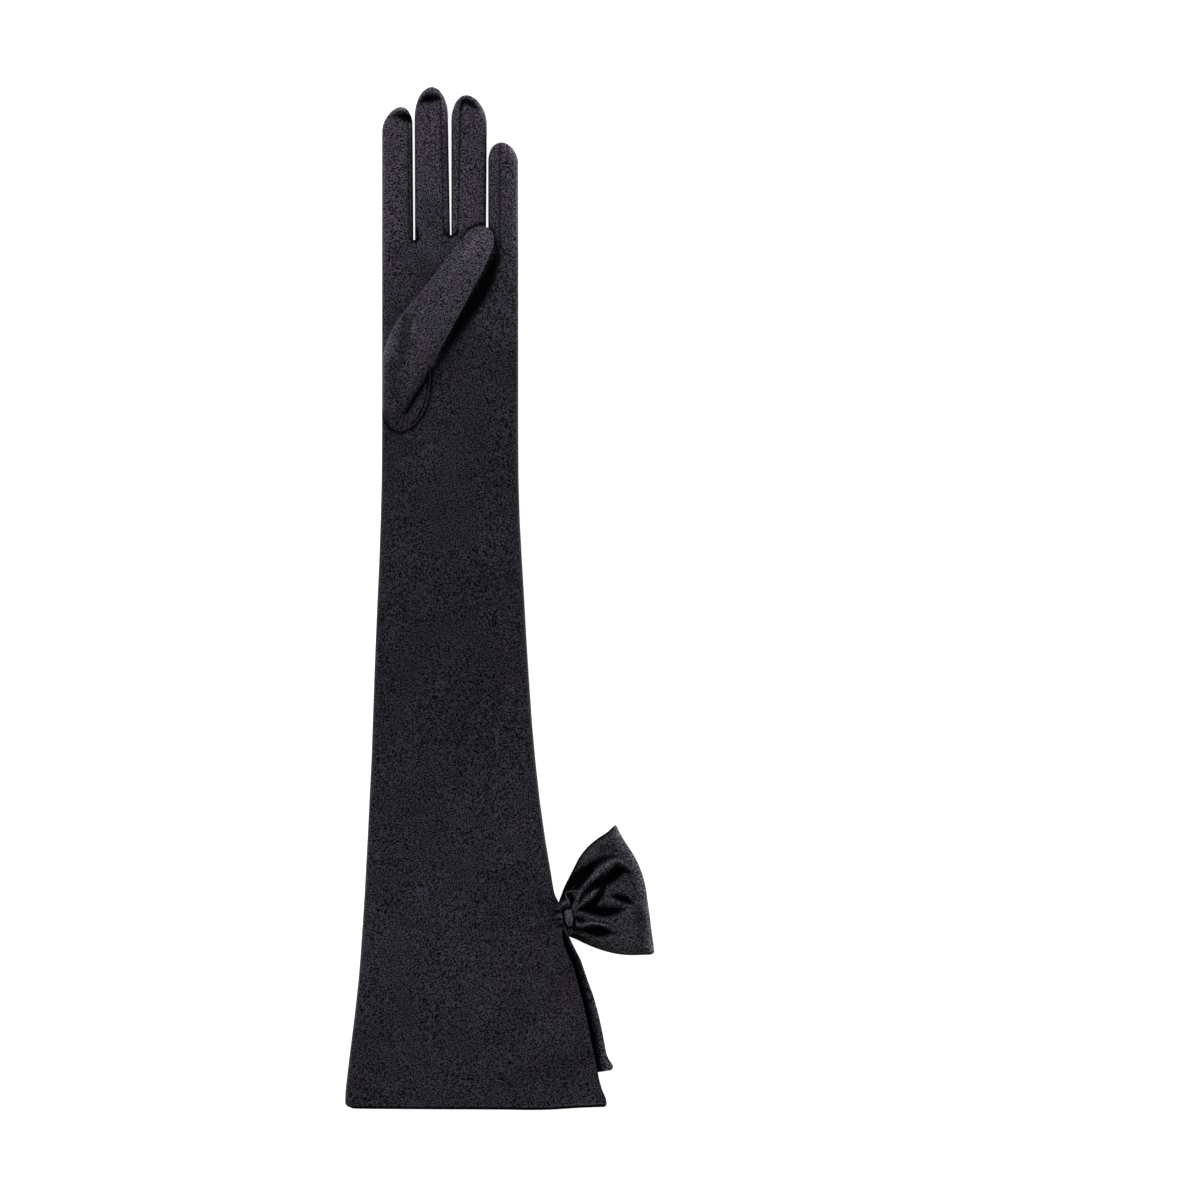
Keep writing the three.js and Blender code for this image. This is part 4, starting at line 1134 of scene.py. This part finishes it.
def bow_half(free, across, along):
    """One half of the bow, free or hidden: its plan, upper and lower height, and tone of painted
    shade and light.
    """
    if free:
        grid = coons(BOW_BOTTOM, BOW_TOP, BOW_KNOT, BOW_OUTER, across, along)
    else:
        out = np.array([math.cos(math.radians(HIDDEN_ANGLE)),
                        math.sin(math.radians(HIDDEN_ANGLE))])
        side = np.array([out[1], -out[0]])

        def at(reach, aside):
            return tuple(np.array(KNOT) + out * reach + side * aside)

        low = [at(2.6, -7.0), at(8, -14), at(16, -22), at(27, -30), at(36, -35), at(42, -38.5)]
        high = [at(2.6, 7.0), at(8, 14), at(16, 22), at(27, 30), at(36, 35), at(42, 38.5)]
        far = [at(42, -38.5), at(46.5, -22), at(48.6, 0), at(46.5, 22), at(42, 38.5)]
        inner = [at(2.6, -7.0), at(2.6, 0), at(2.6, 7.0)]
        grid = coons(low, high, inner, far, across, along)
    rows, cols = grid.shape[:2]
    flat = grid.reshape(-1, 2)
    edge = np.vstack([grid[0], grid[1:, -1], grid[-1, -2::-1]])
    d = line_distance(flat, edge).reshape(rows, cols)
    t = np.repeat(np.linspace(0, 1, cols)[None, :], rows, 0)
    s = np.repeat(np.linspace(-1, 1, rows)[:, None], cols, 1)
    waist = 1 - smoothstep(t, 0.0, 0.16)
    if free:
        thick = mix(9.6, 7.2, smoothstep(t, 0.5, 0.95))
        swell = side_profile(d, 9.0, 1.9)
        edge_mid = mix(1.6, 3.4, bell(t - 0.2, 0.3))
        top = edge_mid + 0.8 + (thick - edge_mid - 0.8) * swell
        low = np.maximum(edge_mid - 0.8 - (edge_mid - 0.8 - 0.35) * swell, 0.35)
        # painted light at the outer edge, dark along the sewn sides
        to_outer = line_distance(flat, grid[:, -1]).reshape(rows, cols)
        to_sewn = line_distance(flat, grid[0])
        to_sewn = np.minimum(to_sewn, line_distance(flat, grid[-1])).reshape(rows, cols)
        tone = -2.0 * bell(to_outer, 3.2)
        relief, tone = press(flat, BOW_FOLDS, np.zeros(len(flat)), tone.ravel())
        sewn = np.clip(1.4 * bell(to_sewn, 1.3), 0, 1)
        tone = mix(tone.reshape(rows, cols), 1.0, sewn * smoothstep(to_outer, 0.0, 2.5))
        relief = relief + waves(flat, 20, 9, 26, 0.12)
        relief = relief.reshape(rows, cols) * smoothstep(d, 0.0, 1.6)
    else:
        relief = tone = np.zeros((rows, cols))
        swell = side_profile(d, 6.0, 2.0)
        top = 1.6 + 1.3 * swell
        low = 1.6 - 1.25 * swell
    pillow = np.sqrt(np.clip(1 - np.abs(s) ** 3.2, 0, 1))
    waist_top = WAIST_Z + WAIST_THICK / 2 * (0.3 + 0.7 * pillow)
    waist_low = WAIST_Z - WAIST_THICK / 2 * (0.3 + 0.7 * pillow)
    low = mix(low, waist_low, waist)
    top = mix(top, waist_top, waist) + relief
    # pressed flat under the knot's band, and painted dark there as shade under the band
    turn = math.radians(BAND_ANGLE)
    dx, dy = grid[..., 0] - BAND_MIDDLE[0], grid[..., 1] - BAND_MIDDLE[1]
    along = dx * math.cos(turn) + dy * math.sin(turn)
    aside = dy * math.cos(turn) - dx * math.sin(turn)
    under = 1 - smoothstep(np.maximum(np.abs(along) / BAND_WIDE, np.abs(aside) / BAND_LONG),
                           0.95, 1.4)
    top = mix(top, np.minimum(top, BAND_Z + 2.2), under)
    tone = mix(tone, 0.95, under)
    return grid, np.maximum(top, low + 1.0), low, tone


BOW_ACROSS = 151
BOW_ALONG = 130
HIDDEN_ALONG = 50


def bow_mesh():
    """Both halves of the bow as one closed bag."""
    g1, top1, low1, tone1 = bow_half(True, BOW_ACROSS, BOW_ALONG)
    g2, top2, low2, tone2 = bow_half(False, BOW_ACROSS, HIDDEN_ALONG)
    # the hidden half's places run the same way across as the free half's
    grid = np.concatenate([g2[:, ::-1], g1], 1)
    top = np.concatenate([top2[:, ::-1], top1], 1)
    low = np.concatenate([low2[:, ::-1], low1], 1)
    tone = np.concatenate([tone2[:, ::-1], tone1], 1)
    rows, cols = top.shape
    upper = np.dstack([grid, top]).reshape(-1, 3)
    lower = np.dstack([grid, low]).reshape(-1, 3)
    points = np.vstack([upper, lower])
    a = np.arange(rows * cols).reshape(rows, cols)
    b = a + rows * cols
    faces = [quads(a, True), quads(b, False)]
    # the seamed sides
    for edge_a, edge_b, flip in (
        (a[0], b[0], False), (a[-1], b[-1], True), (a[:, 0], b[:, 0], True),
        (a[:, -1], b[:, -1], False),
    ):
        faces.append(quads(np.vstack([edge_a, edge_b]), flip))
    return points, np.vstack(faces), np.tile(tone.ravel(), 2)


bow_points, bow_faces, bow_tone = bow_mesh()
bow = make_object("bow_cloth", bow_points, bow_faces, bow_satin, bow_tone)


def recalc(obj):
    """Turns all faces outwards."""
    bm = bmesh.new()
    bm.from_mesh(obj.data)
    bmesh.ops.recalc_face_normals(bm, faces=bm.faces)
    bm.to_mesh(obj.data)
    bm.free()


recalc(bow)
recalc(thumb)


# Knot
def knot_mesh():
    """A band round the bow's waist: a closed loop of cloth with two sides and two rims."""
    turn = math.radians(BAND_ANGLE)
    out = np.array([math.cos(turn), math.sin(turn)])
    side = np.array([-out[1], out[0]])
    around, wide = 120, 26
    points, tone = [], []
    for inner in (False, True):
        for i in range(wide + 1):
            w = i / wide * 2 - 1
            for j in range(around):
                a = 2 * math.pi * j / around
                c, s = math.cos(a), math.sin(a)
                ring = (abs(c) ** 2.5 + abs(s) ** 2.5) ** (-1 / 2.5)
                thick = 0.9 * math.sqrt(max(0, 1 - abs(w) ** 3)) if not inner else -0.2
                crush = 0.14 * math.cos(w * 6.5 + 1.2 * c) if not inner else 0
                reach = thick + crush
                # narrower where it goes down at its lower end
                narrow = BAND_WIDE * (1 - 0.42 * smoothstep(-c, 0.0, 1.0))
                along = w * narrow + 0.25 * math.sin(2.2 * c)
                place = (np.array(BAND_MIDDLE) + out * along
                         + side * ring * c * (BAND_LONG - 0.9 + reach))
                points.append((*place, BAND_Z + ring * s * (BAND_TALL - 0.9 + reach)))
                # painted shade: darker at the band's rims, along a pleat and towards its lower end
                rim = 0.75 * smoothstep(abs(w), 0.62, 1.0)
                pleat = 0.5 * math.exp(-((w - 0.3 - 0.25 * c) / 0.13) ** 2)
                tone.append(rim + pleat + 0.2 * (0.5 - 0.5 * c))
    count = (wide + 1) * around
    outer = np.arange(count).reshape(wide + 1, around)
    outer = np.hstack([outer, outer[:, :1]])
    inner = outer + count
    faces = [quads(outer, False), quads(inner, True)]
    for row, flip in ((0, True), (-1, False)):
        faces.append(quads(np.vstack([outer[row], inner[row]]), flip))
    return np.array(points), np.vstack(faces), np.array(tone)


knot_points, knot_faces, knot_tone = knot_mesh()
knot = make_object("bow_knot_cloth", knot_points, knot_faces, lit_knot_satin, knot_tone)
recalc(knot)

# What each piece stands for
for piece, node, slot in (
    (body, "glove_body", "satin"),
    (strips[0], "fourchette_index_middle", "satin"),
    (strips[1], "fourchette_middle_ring", "satin"),
    (strips[2], "fourchette_ring_little", "satin"),
    (thumb, "thumb", "satin"),
    (bow, "bow", "bow_satin"),
    (knot, "bow_knot", "bow_satin"),
):
    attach(piece, "root")
    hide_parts(node)

# Floor, light and camera
FLOOR = 6
floor_mesh = bpy.data.meshes.new("floor")
floor_mesh.from_pydata([(-FLOOR, -FLOOR, 0), (FLOOR, -FLOOR, 0), (FLOOR, FLOOR, 0),
                        (-FLOOR, FLOOR, 0)], [], [(0, 1, 2, 3)])
floor = bpy.data.objects.new("floor", floor_mesh)
bpy.context.scene.collection.objects.link(floor)
floor_material = bpy.data.materials.new("pale_floor")
floor_material.use_nodes = True
floor_shader = floor_material.node_tree.nodes["Principled BSDF"]
floor_shader.inputs["Base Color"].default_value = (0.86, 0.86, 0.87, 1)
floor_shader.inputs["Roughness"].default_value = 0.9
floor_shader.inputs["Emission Color"].default_value = (1, 1, 1, 1)
floor_shader.inputs["Emission Strength"].default_value = 0.95
floor_mesh.materials.append(floor_material)


def area_light(name, place, size, energy, color=(1, 1, 1)):
    """A soft square light that looks at the glove."""
    light = bpy.data.lights.new(name, "AREA")
    light.shape = "SQUARE"
    light.size = size
    light.energy = energy
    light.color = color
    obj = bpy.data.objects.new(name, light)
    obj.location = place
    aim = Vector((-0.03, 0.0, 0)) - Vector(place)
    obj.rotation_euler = aim.to_track_quat("-Z", "Y").to_euler()
    bpy.context.scene.collection.objects.link(obj)


area_light("key", (-0.62, 0.86, 0.62), 0.4, 7.2, (0.98, 0.98, 1.0))
area_light("low_key", (-0.75, -0.2, 0.85), 0.6, 2.6, (0.98, 0.98, 1.0))
area_light("fill", (0.9, -0.9, 1.3), 1.2, 2.9)
area_light("rim", (0.95, 0.35, 0.45), 0.5, 4.6)

world = bpy.data.worlds.new("studio")
world.use_nodes = True
world.node_tree.nodes["Background"].inputs["Color"].default_value = (0.92, 0.92, 1.0, 1)
world.node_tree.nodes["Background"].inputs["Strength"].default_value = 0.02
bpy.context.scene.world = world
bpy.context.scene.view_settings.view_transform = "Standard"
bpy.context.scene.view_settings.look = "None"

camera = bpy.data.objects.new("camera", bpy.data.cameras.new("camera"))
camera.data.lens = LENS
camera.data.sensor_width = SENSOR
camera_height = VIEW_WIDTH * LENS / SENSOR * MM
camera.location = (VIEW_CENTRE[0] * MM, VIEW_CENTRE[1] * MM, camera_height + 0.01)
camera.rotation_euler = (0, 0, 0)
bpy.context.scene.collection.objects.link(camera)
bpy.context.scene.camera = camera
